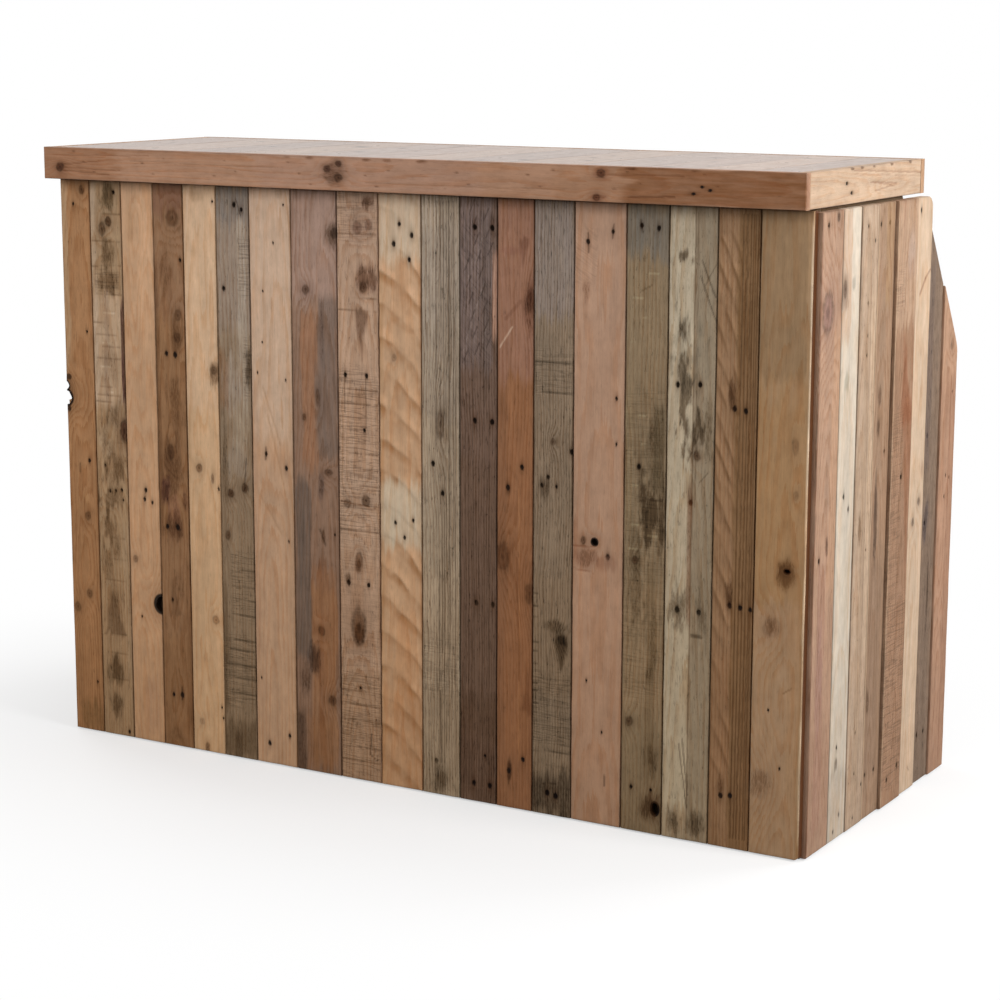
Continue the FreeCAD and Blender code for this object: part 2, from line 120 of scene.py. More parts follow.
@dataclass
class Surface:
    """One board's vertices, in millimetres on its show face, and what the marks leave on them.

    u runs across the board, v along it and w out of its show face, which is at 0.
    """

    u: np.ndarray
    v: np.ndarray
    w: np.ndarray
    face: np.ndarray
    seed: int
    tint: np.ndarray
    ring: np.ndarray
    sink: np.ndarray
    saw: np.ndarray
    saw_at: np.ndarray
    soil: np.ndarray

    def rough(self, across: float, along: float, salt: int = 0) -> np.ndarray:
        """Noise over the board with the given patch size in millimetres."""
        return noise(self.u / across, self.v / along, self.seed + salt)

    def stain(self, amount: np.ndarray, colour: str) -> None:
        """Draws the show face towards a colour; dark marks take on the wood's warmth.

        Args:
            amount: how far, from 0 to 1, per vertex.
            colour: the colour, as sRGB hex.
        """
        share = (np.clip(amount, 0, 1) * self.face)[:, None]
        target = linear(colour)
        if target.mean() < DARK_LEVEL:
            target = target * DARK_WARMTH
        self.tint += share * (target - self.tint)

    def dirty(self, amount: np.ndarray) -> None:
        """Lets dirt settle between the fibres by an amount from 0 to 1."""
        self.soil[:] = np.maximum(self.soil, np.clip(amount, 0, 1) * self.face)

    def shade(self, amount: np.ndarray) -> None:
        """Darkens the show face by a share from 0 to 1; a share below 0 lightens it."""
        self.tint *= (1 - np.clip(amount, -0.6, 0.97) * self.face)[:, None]


@dataclass(frozen=True)
class Knot:
    """The end of a branch: a dark heart with rings, and grain that flows round it."""

    u: float
    v: float
    across: float = 10
    along: float = 0
    dark: float = 0.6
    colour: str = "3c2617"

    def spot(self) -> tuple[float, float, float]:
        """Where the mesh needs finer cells, and how far."""
        return self.u, self.v, max(self.across, self.along) * 0.7 + 2

    def mark(self, s: Surface) -> None:
        """Paints the knot and bends the growth rings.

        Args:
            s: the surface of the board that carries the mark.
        """
        along = self.along or self.across * 1.25
        du, dv = (s.u - self.u) / self.across * 2, (s.v - self.v) / along * 2
        d = np.hypot(du, dv) + 0.22 * s.rough(self.across * 0.45, along * 0.45, 3)
        rings = 0.85 + 0.15 * np.cos(d * 8.5)
        s.stain(np.exp(-((d / 2.0) ** 2)) * self.dark * 0.5, self.colour)
        s.stain(ease(1.2, 0.6, d) * self.dark * 0.85 * rings, self.colour)
        s.stain(np.exp(-(((d - 1) / 0.24) ** 2)) * self.dark * (0.6 + 0.5 * s.rough(4, 5, 8)), "21140c")
        s.stain(ease(0.5, 0.15, d) * self.dark * 0.6, "21140c")
        s.dirty(ease(1.5, 0.3, d) * self.dark * 0.62)
        s.ring += self.across * 1.1 * np.exp(-(du**2 + 0.45 * dv**2) / 6)
        s.sink += 0.35 * ease(1.1, 0.2, d)


@dataclass(frozen=True)
class Nail:
    """A hole left by a drawn nail, with the iron stain round it."""

    u: float
    v: float
    size: float = 5
    halo: float = 0.5

    def spot(self) -> tuple[float, float, float]:
        """Where the mesh needs finer cells, and how far."""
        return self.u, self.v, self.size * 0.8 + 1.5

    def mark(self, s: Surface) -> None:
        """Sinks the hole, blackens it and stains the wood along the grain.

        Args:
            s: the surface of the board that carries the mark.
        """
        d = np.hypot(s.u - self.u, (s.v - self.v) * 0.8) / (self.size * 0.6) + 0.22 * s.rough(3.1, 3.7, 7)
        far = np.hypot((s.u - self.u) / 1.6, (s.v - self.v) / 4.2) / (self.size / 2)
        s.stain(np.exp(-(far**2)) * self.halo, "3d2616")
        s.stain(ease(1.3, 0.8, d) * 0.97, "0c0705")
        s.sink += 2.2 * ease(1.2, 0.5, d)


@dataclass(frozen=True)
class Stain:
    """A soft patch of another colour with a ragged border."""

    u: float
    v: float
    across: float
    along: float
    colour: str = "4a3a2c"
    amount: float = 0.6
    ragged: float = 0.5

    def mark(self, s: Surface) -> None:
        """Paints the patch.

        Args:
            s: the surface of the board that carries the mark.
        """
        d = np.hypot((s.u - self.u) / self.across * 2, (s.v - self.v) / self.along * 2)
        d = d + self.ragged * s.rough(7, 34, 11) + 0.3 * self.ragged * s.rough(2.6, 9, 12)
        patch = ease(1.2, 0.5, d) * self.amount
        if linear(self.colour).mean() < 0.11:
            s.dirty(ease(1.5, 0.1, d) * self.amount * 1.05)
            patch *= 0.8
        s.stain(patch * (0.86 + 0.3 * s.rough(4, 30, 13)), self.colour)


@dataclass(frozen=True)
class Streak:
    """A band of another colour along the grain, from u0 to u1 and v0 to v1."""

    u0: float
    u1: float
    v0: float
    v1: float
    colour: str
    amount: float = 0.5
    soft: float = 5

    def mark(self, s: Surface) -> None:
        """Paints the band with edges that wander along the grain.

        Args:
            s: the surface of the board that carries the mark.
        """
        u = s.u + self.soft * 0.9 * s.rough(9, 70, 21)
        v = s.v + 26 * s.rough(5, 60, 22)
        across = ease(self.u0 - self.soft / 2, self.u0 + self.soft / 2, u)
        across *= ease(self.u1 + self.soft / 2, self.u1 - self.soft / 2, u)
        along = ease(self.v0 - 14, self.v0 + 14, v) * ease(self.v1 + 14, self.v1 - 14, v)
        if linear(self.colour).mean() < 0.08:
            s.dirty(across * along * self.amount * 0.6)
        s.stain(across * along * self.amount * (0.85 + 0.35 * s.rough(4, 50, 23)), self.colour)


@dataclass(frozen=True)
class Wedge:
    """A tapering mark that opens from a point at (u, v) to u0..u1 at height v1."""

    u: float
    v: float
    u0: float
    u1: float
    v1: float
    colour: str
    amount: float = 0.6

    def mark(self, s: Surface) -> None:
        """Paints the taper.

        Args:
            s: the surface of the board that carries the mark.
        """
        t = (s.v + 15 * s.rough(8, 34, 31) - self.v) / (self.v1 - self.v)
        left = self.u + (self.u0 - self.u) * t
        right = self.u + (self.u1 - self.u) * t
        wander = s.u + 5 * s.rough(7, 36, 32)
        inside = ease(-4, 5, wander - left) * ease(-4, 5, right - wander)
        inside = inside * ease(-0.03, 0.06, t) * ease(1.05, 0.93, t) * self.amount
        s.dirty(inside * 0.5)
        s.stain(inside, self.colour)


@dataclass(frozen=True)
class Line:
    """A scratch, cut or crack from one point to another."""

    u0: float
    v0: float
    u1: float
    v1: float
    width: float = 2
    colour: str = "2a1d14"
    amount: float = 0.6

    def mark(self, s: Surface) -> None:
        """Paints the line and cuts it into the face.

        Args:
            s: the surface of the board that carries the mark.
        """
        run, rise = self.u1 - self.u0, self.v1 - self.v0
        t = ((s.u - self.u0) * run + (s.v - self.v0) * rise) / max(run**2 + rise**2, 1e-6)
        t = np.clip(t, 0, 1)
        wave = 0.8 * s.rough(12, 12, 41)
        d = np.hypot(s.u - self.u0 - t * run + wave, s.v - self.v0 - t * rise + wave)
        line = ease(self.width * 0.95, self.width * 0.3, d)
        s.stain(line * self.amount, self.colour)
        s.sink += 0.5 * line


@dataclass(frozen=True)
class Figure:
    """A swirl in the grain with no knot at the face: rings that close round a point."""

    u: float
    v: float
    across: float = 30
    along: float = 90
    rise: float = 14

    def mark(self, s: Surface) -> None:
        """Lifts the growth rings into closed ovals.

        Args:
            s: the surface of the board that carries the mark.
        """
        du, dv = (s.u - self.u) / self.across * 2, (s.v - self.v) / self.along * 2
        s.ring += self.rise * np.exp(-(du**2 + dv**2) * 0.7)


@dataclass(frozen=True)
class Saw:
    """Cross lines left by a saw, within u0..u1 and v0..v1; slope tilts them."""

    u0: float
    u1: float
    v0: float
    v1: float
    amount: float = 0.8
    slope: float = 0.0

    def mark(self, s: Surface) -> None:
        """Raises the amount of saw lines that the finish draws there.

        Args:
            s: the surface of the board that carries the mark.
        """
        u, v = s.u + 3 * s.rough(8, 14, 51), s.v + 14 * s.rough(10, 20, 52)
        across = ease(self.u0 - 3, self.u0 + 3, u) * ease(self.u1 + 3, self.u1 - 3, u)
        along = ease(self.v0 - 12, self.v0 + 12, v) * ease(self.v1 + 12, self.v1 - 12, v)
        s.saw[:] = np.maximum(s.saw, across * along * self.amount * s.face)
        s.saw_at += self.slope * (s.u - self.u0) * across * along


@dataclass(frozen=True)
class Chatter:
    """Scoops that a coarse saw tore out at an even pitch, as slanting crescents."""

    u0: float
    u1: float
    v0: float
    v1: float
    pitch: float = 45
    slope: float = 0.3
    depth: float = 1.3
    # colour of the painted shade on each scoop's steep side
    colour: str = "8a5c36"
    amount: float = 0.5

    def mark(self, s: Surface) -> None:
        """Hollows the scoops, darkens their steep side with painted shade and lightens the slope below with
        a painted highlight.

        Args:
            s: the surface of the board that carries the mark.
        """
        bow = np.clip(s.u - self.u0, 0, None)
        bend = self.slope * bow + 0.55 * bow**2 / (self.u1 - self.u0)
        phase = (s.v + bend + 11 * s.rough(45, 90, 61)) / self.pitch
        saw = phase - np.floor(phase)
        edge = np.clip(0.45 + 1.3 * s.rough(24, 30, 62), 0, 1)
        within = ease(self.u0 - 2, self.u0 + 5, s.u) * ease(self.u1 + 3, self.u1 - 6, s.u)
        within *= ease(self.v0 - 8, self.v0 + 16, s.v) * ease(self.v1 + 8, self.v1 - 16, s.v)
        scoop = ease(0, 0.7, saw) * ease(1.0, 0.86, saw)
        s.sink += self.depth * scoop * within * (0.45 + 0.55 * edge)
        # painted shade along each scoop's steep side
        lip = ease(0.55, 0.84, saw) * ease(1.0, 0.9, saw)
        s.stain(lip * within * self.amount * (0.1 + 1.1 * edge), self.colour)
        # painted highlight: lighter on the slope below each lip
        s.shade(-0.22 * within * ease(0.45, 0.1, saw) * edge)


@dataclass(frozen=True)
class Hole:
    """A knot that has fallen out and left a hole in the board, as deep as it is told."""

    u: float
    v: float
    size: float
    along: float = 0
    halo: float = 0.5
    colour: str = "4a2c18"
    deep: float = 12.5

    def spot(self) -> tuple[float, float, float]:
        """Where the mesh needs finer cells, and how far."""
        return self.u, self.v, max(self.size, self.along) * 0.75 + 3

    def mark(self, s: Surface) -> None:
        """Blackens the wall of the hole as painted shade and stains the wood round it.

        Args:
            s: the surface of the board that carries the mark.
        """
        along = self.along or self.size
        d = np.hypot((s.u - self.u) / self.size * 2, (s.v - self.v) / along * 2)
        s.stain(np.exp(-((d / 2.3) ** 2)) * self.halo * s.face, self.colour)
        # painted shade: the wall of the hole goes black
        black = ease(1.34, 1.12, d) * 0.97 * ease(0.0, 0.12, s.face)
        s.tint *= (1 - black)[:, None]
        s.ring += self.size * np.exp(-((d / 2.6) ** 2))


Mark = Knot | Nail | Stain | Streak | Wedge | Line | Figure | Saw | Chatter | Hole


class Face(Enum):
    """How a board lies: the directions of its u, v and w, and the light that its side gets."""

    FRONT = ((1, 0, 0), (0, 0, 1), (0, -1, 0), 0.78)
    RIGHT = ((0, 1, 0), (0, 0, 1), (1, 0, 0), 1.15)
    LEFT = ((0, -1, 0), (0, 0, 1), (-1, 0, 0), 1.0)
    TOP = ((1, 0, 0), (0, 1, 0), (0, 0, 1), 1.0)
    FRONT_EDGE = ((0, 0, -1), (1, 0, 0), (0, -1, 0), 0.8)
    RIGHT_EDGE = ((0, 0, -1), (0, 1, 0), (1, 0, 0), 1.2)
    BACK_EDGE = ((0, 0, 1), (1, 0, 0), (0, 1, 0), 1.0)
    LEFT_EDGE = ((0, 0, 1), (0, 1, 0), (-1, 0, 0), 1.0)
    SHELF = ((0, 1, 0), (-1, 0, 0), (0, 0, 1), 1.0)

    def axes(self) -> tuple[Vector, Vector, Vector]:
        """The three directions as vectors."""
        return Vector(self.value[0]), Vector(self.value[1]), Vector(self.value[2])

    def light(self) -> float:
        """Light on this side of the counter, where 1 shows a colour as it is written."""
        return self.value[3]


def add(tree: bpy.types.NodeTree, kind: str, inputs: dict | None = None, **settings) -> bpy.types.Node:
    """Adds one shader node.

    Args:
        tree: the material's node tree.
        kind: the node's type.
        inputs: input name or number to a value, or to the node or socket that feeds it.
        **settings: the node's own settings.

    Returns:
        The new node.
    """
    node = tree.nodes.new(kind)
    for name, value in settings.items():
        setattr(node, name, value)
    for key, value in (inputs or {}).items():
        if isinstance(value, bpy.types.Node):
            value = value.outputs[0]
        if isinstance(value, bpy.types.NodeSocket):
            tree.links.new(value, node.inputs[key])
        else:
            node.inputs[key].default_value = value
    return node


@dataclass(frozen=True)
class WoodFinish:
    """Softwood whose colour, growth rings and saw lines come from the board's own attributes.

    Real fibres are under 1 mm wide; here they are drawn 2 to 3 mm wide so that they show.
    """

    name: str
    ring_mm: float = 6.0
    rings: float = 0.25
    fibres: float = 0.34
    pores: float = 0.3
    saw: float = 0.4
    roughness: float = 0.62
    gloss: float = 0.1
    coat: float = 0.0
    bump_mm: float = 0.5
    grit: float = 0.22

    def material(self) -> bpy.types.Material:
        """Builds the node material once and returns it.

        Returns:
            The finish's material.
        """
        made = bpy.data.materials.get(self.name)
        if made:
            return made
        made = bpy.data.materials.new(self.name)
        made.use_nodes = True
        t = made.node_tree
        t.nodes.clear()
        tint = add(t, "ShaderNodeAttribute", attribute_name="tint").outputs["Color"]
        grain = add(t, "ShaderNodeAttribute", attribute_name="grain").outputs["Vector"]
        marks = add(t, "ShaderNodeAttribute", attribute_name="marks").outputs["Vector"]
        split = add(t, "ShaderNodeSeparateXYZ", {0: grain})
        worked = add(t, "ShaderNodeSeparateXYZ", {0: marks})

        # growth rings: pale early wood that darkens slowly into a line of late wood
        cell = add(t, "ShaderNodeVectorMath", {0: grain, 1: (1e6, 70, 4.5)}, operation="DIVIDE")
        warp = add(t, "ShaderNodeTexNoise", {"Vector": cell, "Scale": 1.0, "Detail": 3.0})
        shift = add(t, "ShaderNodeMath", {0: warp, 1: 1.1}, operation="MULTIPLY")
        setup = {0: split.outputs[0], 1: 1 / self.ring_mm, 2: shift}
        turn = add(t, "ShaderNodeMath", setup, operation="MULTIPLY_ADD")
        year = add(t, "ShaderNodeMath", {0: turn}, operation="FRACT")
        growth = add(t, "ShaderNodeFloatCurve", {"Value": year})
        for at, level in ((0.42, 0.12), (0.8, 0.9), (0.93, 1.0)):
            growth.mapping.curves[0].points.new(at, level)
        growth.mapping.curves[0].points[-1].location = (1.0, 0.0)
        growth.mapping.update()
        cell = add(t, "ShaderNodeVectorMath", {0: grain, 1: (1e6, 160, 13)}, operation="DIVIDE")
        patch = add(t, "ShaderNodeTexNoise", {"Vector": cell, "Scale": 1.0, "Detail": 2.0})
        fade = add(t, "ShaderNodeMapRange", {0: patch, 1: 0.3, 2: 0.65, 3: 0.25, 4: 1.0})
        late = add(t, "ShaderNodeMath", {0: growth, 1: fade}, operation="MULTIPLY")
        # fibres, and the short dark dashes of resin ducts and dirt between them
        cell = add(t, "ShaderNodeVectorMath", {0: grain, 1: (1e6, 75, 2.4)}, operation="DIVIDE")
        setup = {"Vector": cell, "Scale": 1.0, "Detail": 5.0, "Roughness": 0.7}
        fibre = add(t, "ShaderNodeTexNoise", setup)
        cell = add(t, "ShaderNodeVectorMath", {0: grain, 1: (1e6, 22, 1.7)}, operation="DIVIDE")
        setup = {"Vector": cell, "Scale": 1.0, "Detail": 3.0, "Roughness": 0.65}
        ducts = add(t, "ShaderNodeTexNoise", setup)
        dash = add(t, "ShaderNodeMapRange", {0: ducts, 1: 0.56, 2: 0.7})
        cell = add(t, "ShaderNodeVectorMath", {0: grain, 1: (1e6, 34, 16)}, operation="DIVIDE")
        setup = {"Vector": cell, "Scale": 1.0, "Detail": 4.0, "Roughness": 0.62}
        mottle = add(t, "ShaderNodeTexNoise", setup)
        # cross lines of the saw, coarse and fine, broken along their length
        place_on = add(t, "ShaderNodeCombineXYZ", {0: worked.outputs[1], 1: split.outputs[2]})
        kerf = None
        for pitch, reach, gain in ((16, 260, 34.0), (5.5, 90, 40.0)):
            cell = add(t, "ShaderNodeVectorMath", {0: place_on, 1: (pitch, reach, 1)}, operation="DIVIDE")
            lines = add(t, "ShaderNodeTexNoise", {"Vector": cell, "Scale": 1.0, "Detail": 2.0})
            off = add(t, "ShaderNodeMath", {0: lines, 1: 0.5}, operation="SUBTRACT")
            size = add(t, "ShaderNodeMath", {0: off}, operation="ABSOLUTE")
            cut = add(t, "ShaderNodeMapRange", {0: size, 1: 1 / gain, 2: 0.0})
            kerf = add(t, "ShaderNodeMath", {0: cut, 1: kerf or 0.0}, operation="MAXIMUM")
        kerf = add(t, "ShaderNodeMath", {0: kerf, 1: worked.outputs[0]}, operation="MULTIPLY")
        # dirt between the fibres, where the board's marks let it settle
        cell = add(t, "ShaderNodeVectorMath", {0: grain, 1: (1e6, 11, 2.2)}, operation="DIVIDE")
        setup = {"Vector": cell, "Scale": 1.0, "Detail": 5.0, "Roughness": 0.7}
        specks = add(t, "ShaderNodeTexNoise", setup)
        setup = {0: specks, 1: 1.5, 2: worked.outputs[2]}
        settled = add(t, "ShaderNodeMath", setup, operation="MULTIPLY_ADD")
        soil = add(t, "ShaderNodeMapRange", {0: settled, 1: 1.08, 2: 1.42})
        # black flecks of grit, in patches
        cell = add(t, "ShaderNodeVectorMath", {0: grain, 1: (1e6, 15, 5.5)}, operation="DIVIDE")
        setup = {"Vector": cell, "Scale": 1.0, "Detail": 4.0, "Roughness": 0.65}
        grains = add(t, "ShaderNodeTexNoise", setup)
        caught = add(t, "ShaderNodeMapRange", {0: grains, 1: 0.6, 2: 0.68})
        fleck = add(t, "ShaderNodeMath", {0: caught, 1: fade}, operation="MULTIPLY")
        # all of them darken the board's own colour
        dark = add(t, "ShaderNodeMath", {0: late, 1: self.rings}, operation="MULTIPLY")
        for layer, share, middle in (
            (fibre, -self.fibres * 1.6, 0.5), (dash, self.pores, 0.0), (mottle, 0.5, 0.5),
            (kerf, self.saw, 0.0), (soil, 0.42, 0.0), (fleck, self.grit, 0.0),
        ):
            off = add(t, "ShaderNodeMath", {0: layer, 1: middle}, operation="SUBTRACT")
            dark = add(t, "ShaderNodeMath", {0: off, 1: share, 2: dark}, operation="MULTIPLY_ADD")
        keep = add(t, "ShaderNodeMath", {0: 1.06, 1: dark}, operation="SUBTRACT")
        plain = add(t, "ShaderNodeVectorMath", {0: tint, 3: keep}, operation="SCALE")
        # late wood and dirt are redder as well as darker
        deep = add(t, "ShaderNodeMath", {0: late, 1: soil}, operation="MAXIMUM")
        rich = add(t, "ShaderNodeVectorMath", {0: plain, 1: (1.05, 0.93, 0.82)}, operation="MULTIPLY")
        colour = add(t, "ShaderNodeMix", {0: deep, 6: plain, 7: rich}, data_type="RGBA").outputs[2]
        setup = {0: mottle, 1: 0.22, 2: self.roughness - 0.11}
        rough = add(t, "ShaderNodeMath", setup, operation="MULTIPLY_ADD")
        height = add(t, "ShaderNodeMath", {0: late, 1: 0.35}, operation="MULTIPLY")
        for layer, share in ((fibre, 0.8), (dash, -0.5), (kerf, -0.9), (soil, -0.4)):
            height = add(t, "ShaderNodeMath", {0: layer, 1: share, 2: height}, operation="MULTIPLY_ADD")
        bump = add(t, "ShaderNodeBump", {"Height": height, "Distance": self.bump_mm * MM, "Strength": 0.7})
        setup = {"Base Color": colour, "Roughness": rough, "Normal": bump, "IOR": 1.5}
        setup.update({"Specular IOR Level": self.gloss, "Coat Weight": self.coat, "Coat Roughness": 0.22})
        shader = add(t, "ShaderNodeBsdfPrincipled", setup)
        add(t, "ShaderNodeOutputMaterial", {0: shader})
        return made


# sanded and oiled: low gloss, rings and fibres both clear
OILED = WoodFinish("Pallet_pine_sanded_oiled")
# smooth planed board: faint rings, even colour, a little more sheen
PLANED = WoodFinish("Pallet_pine_planed_oiled", 8.0, 0.13, 0.24, 0.16, 0.3, 0.55, 0.12, 0.0, 0.3, 0.08)
# weathered board: hard late-wood ridges stand proud, dirt lies between them
WEATHERED = WoodFinish("Pallet_pine_weathered_brushed", 4.6, 0.4, 0.6, 0.56, 0.34, 0.7, 0.06, 0.0, 0.9, 0.5)
# saw-scarred board: dull, with dark cross lines
SAWN = WoodFinish("Pallet_pine_saw_marked", 6.5, 0.22, 0.4, 0.38, 0.3, 0.68, 0.06, 0.0, 0.7, 0.42)
# lippings: planed and sealed, fine grain and a soft sheen
SATIN = WoodFinish("Planed_pine_satin_oil", 6.0, 0.11, 0.22, 0.15, 0.3, 0.55, 0.15, 0.0, 0.3, 0.1)
# counter top: satin lacquer that mirrors the pale surroundings at a low angle
LACQUER = WoodFinish("Planed_pine_satin_lacquer", 6.0, 0.14, 0.2, 0.06, 0.3, 0.31, 0.5, 0.0, 0.1, 0.05)
# frame timber: dry and pale, bandsaw lines across
RAW = WoodFinish("Sawn_pine_unfinished", 5.0, 0.26, 0.24, 0.15, 0.3, 0.78, 0.2, 0.0, 0.5)


def knock_out(
    bm: bmesh.types.BMesh, radius: float, stretch: float, deep: float
) -> list[bmesh.types.BMVert]:
    """Adds the shape of one fallen knot, a ragged peg that starts above the face and goes in along -Z.

    Args:
        bm: the cutters so far.
        radius: half its width.
        stretch: its length along the grain over its width.
        deep: how far it goes into the wood.

    Returns:
        The peg's vertices.
    """
    sizes = {"radius1": radius, "radius2": radius, "depth": deep * 2}
    verts = bmesh.ops.create_cone(bm, cap_ends=True, segments=30, **sizes)["verts"]
    for vert in verts:
        a = math.atan2(vert.co.y, vert.co.x)
        swell = 1 - 0.07 * (1 + math.sin(2 * a + radius)) - 0.04 * (1 + math.sin(5 * a + deep))
        vert.co.x *= swell
        vert.co.y *= swell * stretch
    return verts


def chip(bm: bmesh.types.BMesh, radius: float, reach: float) -> list[bmesh.types.BMVert]:
    """Adds the shape of a chip torn off an edge, a ragged egg that runs in along -Z.

    Args:
        bm: the cutters so far.
        radius: half its width.
        reach: how far it goes into the wood.

    Returns:
        The egg's vertices.
    """
    verts = bmesh.ops.create_uvsphere(bm, u_segments=30, v_segments=18, radius=radius)["verts"]
    for vert in verts:
        a = math.atan2(vert.co.y, vert.co.x)
        swell = 1 - 0.04 * (1 + math.sin(3 * a)) - 0.03 * (1 + math.sin(7 * a))
        vert.co.x *= swell
        vert.co.y *= swell
        vert.co.z *= 1.08 * reach / radius
    return verts


def carve(mesh: bpy.types.Mesh, cutters: bmesh.types.BMesh) -> bpy.types.Mesh:
    """Cuts shapes out of a closed mesh.

    Args:
        mesh: what is cut.
        cutters: the shapes, in the same coordinates; freed here.

    Returns:
        The cut mesh.
    """
    tool_mesh = bpy.data.meshes.new("cutter")
    cutters.to_mesh(tool_mesh)
    cutters.free()
    tool = bpy.data.objects.new("cutter", tool_mesh)
    blank = bpy.data.objects.new("blank", mesh)
    for item in (tool, blank):
        bpy.context.scene.collection.objects.link(item)
    step = blank.modifiers.new("holes", "BOOLEAN")
    step.operation = "DIFFERENCE"
    step.solver = "EXACT"
    step.object = tool
    seen = blank.evaluated_get(bpy.context.evaluated_depsgraph_get())
    done = bpy.data.meshes.new_from_object(seen)
    for item in (tool, blank):
        bpy.data.objects.remove(item)
    bpy.data.meshes.remove(tool_mesh)
    return done


@dataclass
class Board:
    """One board: its box, how it lies, and what its face shows.

    cuts are planes and corners are quarter rounds that take wood off; bites are chips torn out.
    The painted top light is how much paler each channel is at the top, and darker at the foot, than half
    way up: painted light. close_mm is how far each back edge reaches towards the next board, and the
    painted flank shade is a dark colour painted on the right side wall as its shade.
    """

    name: str
    box: tuple[Vector, Vector]
    face: Face
    finish: WoodFinish
    tone: str
    marks: tuple[Mark, ...] = ()
    pith: tuple[float, float, float] = (30, 40, 30)
    edge_mm: float = 1.8
    wander_mm: float = 0.7
    cell_mm: tuple[float, float] = (1.9, 3.1)
    cuts: tuple = ()
    bites: tuple = ()
    corners: tuple = ()
    uneven: float = 0.14
    # painted light: paler and cooler towards the top, darker and warmer towards the foot
    painted_top_light: tuple[float, float, float] = (0.0, 0.0, 0.0)
    close_mm: float = 0.0
    # dark colour painted on the right side wall as its shade
    flank: str = ""

    def __post_init__(self) -> None:
        """Works out the board's own axes, corner and size in millimetres."""
        low, high = self.box
        self.axes = self.face.axes()
        centre, half = (low + high) / 2, (high - low) / 2
        self.size = [2 * sum(abs(a) * h for a, h in zip(axis, half)) / MM for axis in self.axes]
        corner = centre - self.axes[0] * self.size[0] * MM / 2 - self.axes[1] * self.size[1] * MM / 2
        self.corner = corner + self.axes[2] * self.size[2] * MM / 2
        self.seed = zlib.crc32(self.name.encode()) % 60000
        upright = self.axes[1].z > 0.5
        self.base = low.z / MM if upright else 0.0

    def grid(self) -> bmesh.types.BMesh:
        """A closed slab with a fine grid on its show face and finer cells at nails and knots.

        Returns:
            The slab, in board millimetres.
        """
        width, length, thick = self.size
        rows = []
        for size, cell in ((width, self.cell_mm[0]), (length, self.cell_mm[1])):
            count = max(2, round((size - 7) / cell))
            middle = list(np.linspace(3.5, size - 3.5, count))
            rows.append([0, 0.9, 2.0] + middle + [size - 2.0, size - 0.9, size])
        us, vs = rows
        bm = bmesh.new()
        bmesh.ops.create_grid(bm, x_segments=len(us) - 1, y_segments=len(vs) - 1, size=0.5)
        for vert in bm.verts:
            i = round((vert.co.x + 0.5) * (len(us) - 1))
            j = round((vert.co.y + 0.5) * (len(vs) - 1))
            vert.co = (us[i], vs[j], 0)
        self.refine(bm)
        arris = min(4.0, thick / 2)
        for step in (arris, thick - arris):
            rim = [e for e in bm.edges if e.is_boundary]
            made = bmesh.ops.extrude_edge_only(bm, edges=rim)["geom"]
            verts = [g for g in made if isinstance(g, bmesh.types.BMVert)]
            bmesh.ops.translate(bm, verts=verts, vec=(0, 0, -step))
        bmesh.ops.edgeloop_fill(bm, edges=[e for e in bm.edges if e.is_boundary])
        for point, normal in self.cuts:
            self.cut(bm, self.inward(point), Vector([normal.dot(a) for a in self.axes]))
        for u, v, radius, turn in self.corners:
            for step in range(5):
                angle = math.radians(turn + 9 + 18 * step)
                out = Vector((math.cos(angle), math.sin(angle), 0))
                self.cut(bm, Vector((u, v - self.base, 0)) + out * radius, out)
        bmesh.ops.recalc_face_normals(bm, faces=bm.faces)
        return bm

    def refine(self, bm: bmesh.types.BMesh) -> None:
        """Halves the cells round each nail and knot.

        Args:
            bm: the face's grid, in board millimetres.
        """
        co = np.array([v.co for v in bm.verts])
        near = np.zeros(len(co), bool)
        for mark in self.marks:
            if hasattr(mark, "spot"):
                u, v, reach = mark.spot()
                near |= np.hypot(co[:, 0] - u, co[:, 1] - (v - self.base)) < reach
        edges = [e for e in bm.edges if near[e.verts[0].index] and near[e.verts[1].index]]
        if edges:
            bmesh.ops.subdivide_edges(bm, edges=edges, cuts=1, use_grid_fill=True)

    def inward(self, point: Vector) -> Vector:
        """A point of the counter in this board's own millimetres."""
        return Vector([(point - self.corner).dot(a) / MM for a in self.axes])

    def cut(self, bm: bmesh.types.BMesh, point: Vector, normal: Vector) -> None:
        """Cuts off what lies beyond a plane and closes the cut.

        Args:
            bm: the slab, in board millimetres.
            point: a point of the plane.
            normal: the direction of what is cut off.
        """
        geom = bm.verts[:] + bm.edges[:] + bm.faces[:]
        bmesh.ops.bisect_plane(bm, geom=geom, dist=1e-4, plane_co=point, plane_no=normal, clear_outer=True)
        rim = [e for e in bm.edges if e.is_boundary]
        if rim:
            bmesh.ops.holes_fill(bm, edges=rim, sides=0)

    def drill(self, mesh: bpy.types.Mesh) -> bpy.types.Mesh:
        """Takes the fallen knots and the torn-off chips out of the slab.

        Args:
            mesh: the slab, in board millimetres.

        Returns:
            The slab with its holes and chips cut.
        """
        holes = [m for m in self.marks if isinstance(m, Hole)]
        if not holes and not self.bites:
            return mesh
        bm = bmesh.new()
        for hole in holes:
            verts = knock_out(bm, hole.size / 2, (hole.along or hole.size) / hole.size, hole.deep)
            bmesh.ops.translate(bm, verts=verts, vec=(hole.u, hole.v - self.base, 0))
        for point, radius, reach in self.bites:
            verts = chip(bm, radius / MM, reach / MM)
            turn = Matrix(((1, 0, 0), (0, 0, -1), (0, 1, 0)))
            own = Matrix([list(a) for a in self.axes]) @ turn
            bmesh.ops.transform(bm, matrix=own.to_4x4(), verts=verts)
            bmesh.ops.translate(bm, verts=verts, vec=self.inward(point))
        return carve(mesh, bm)

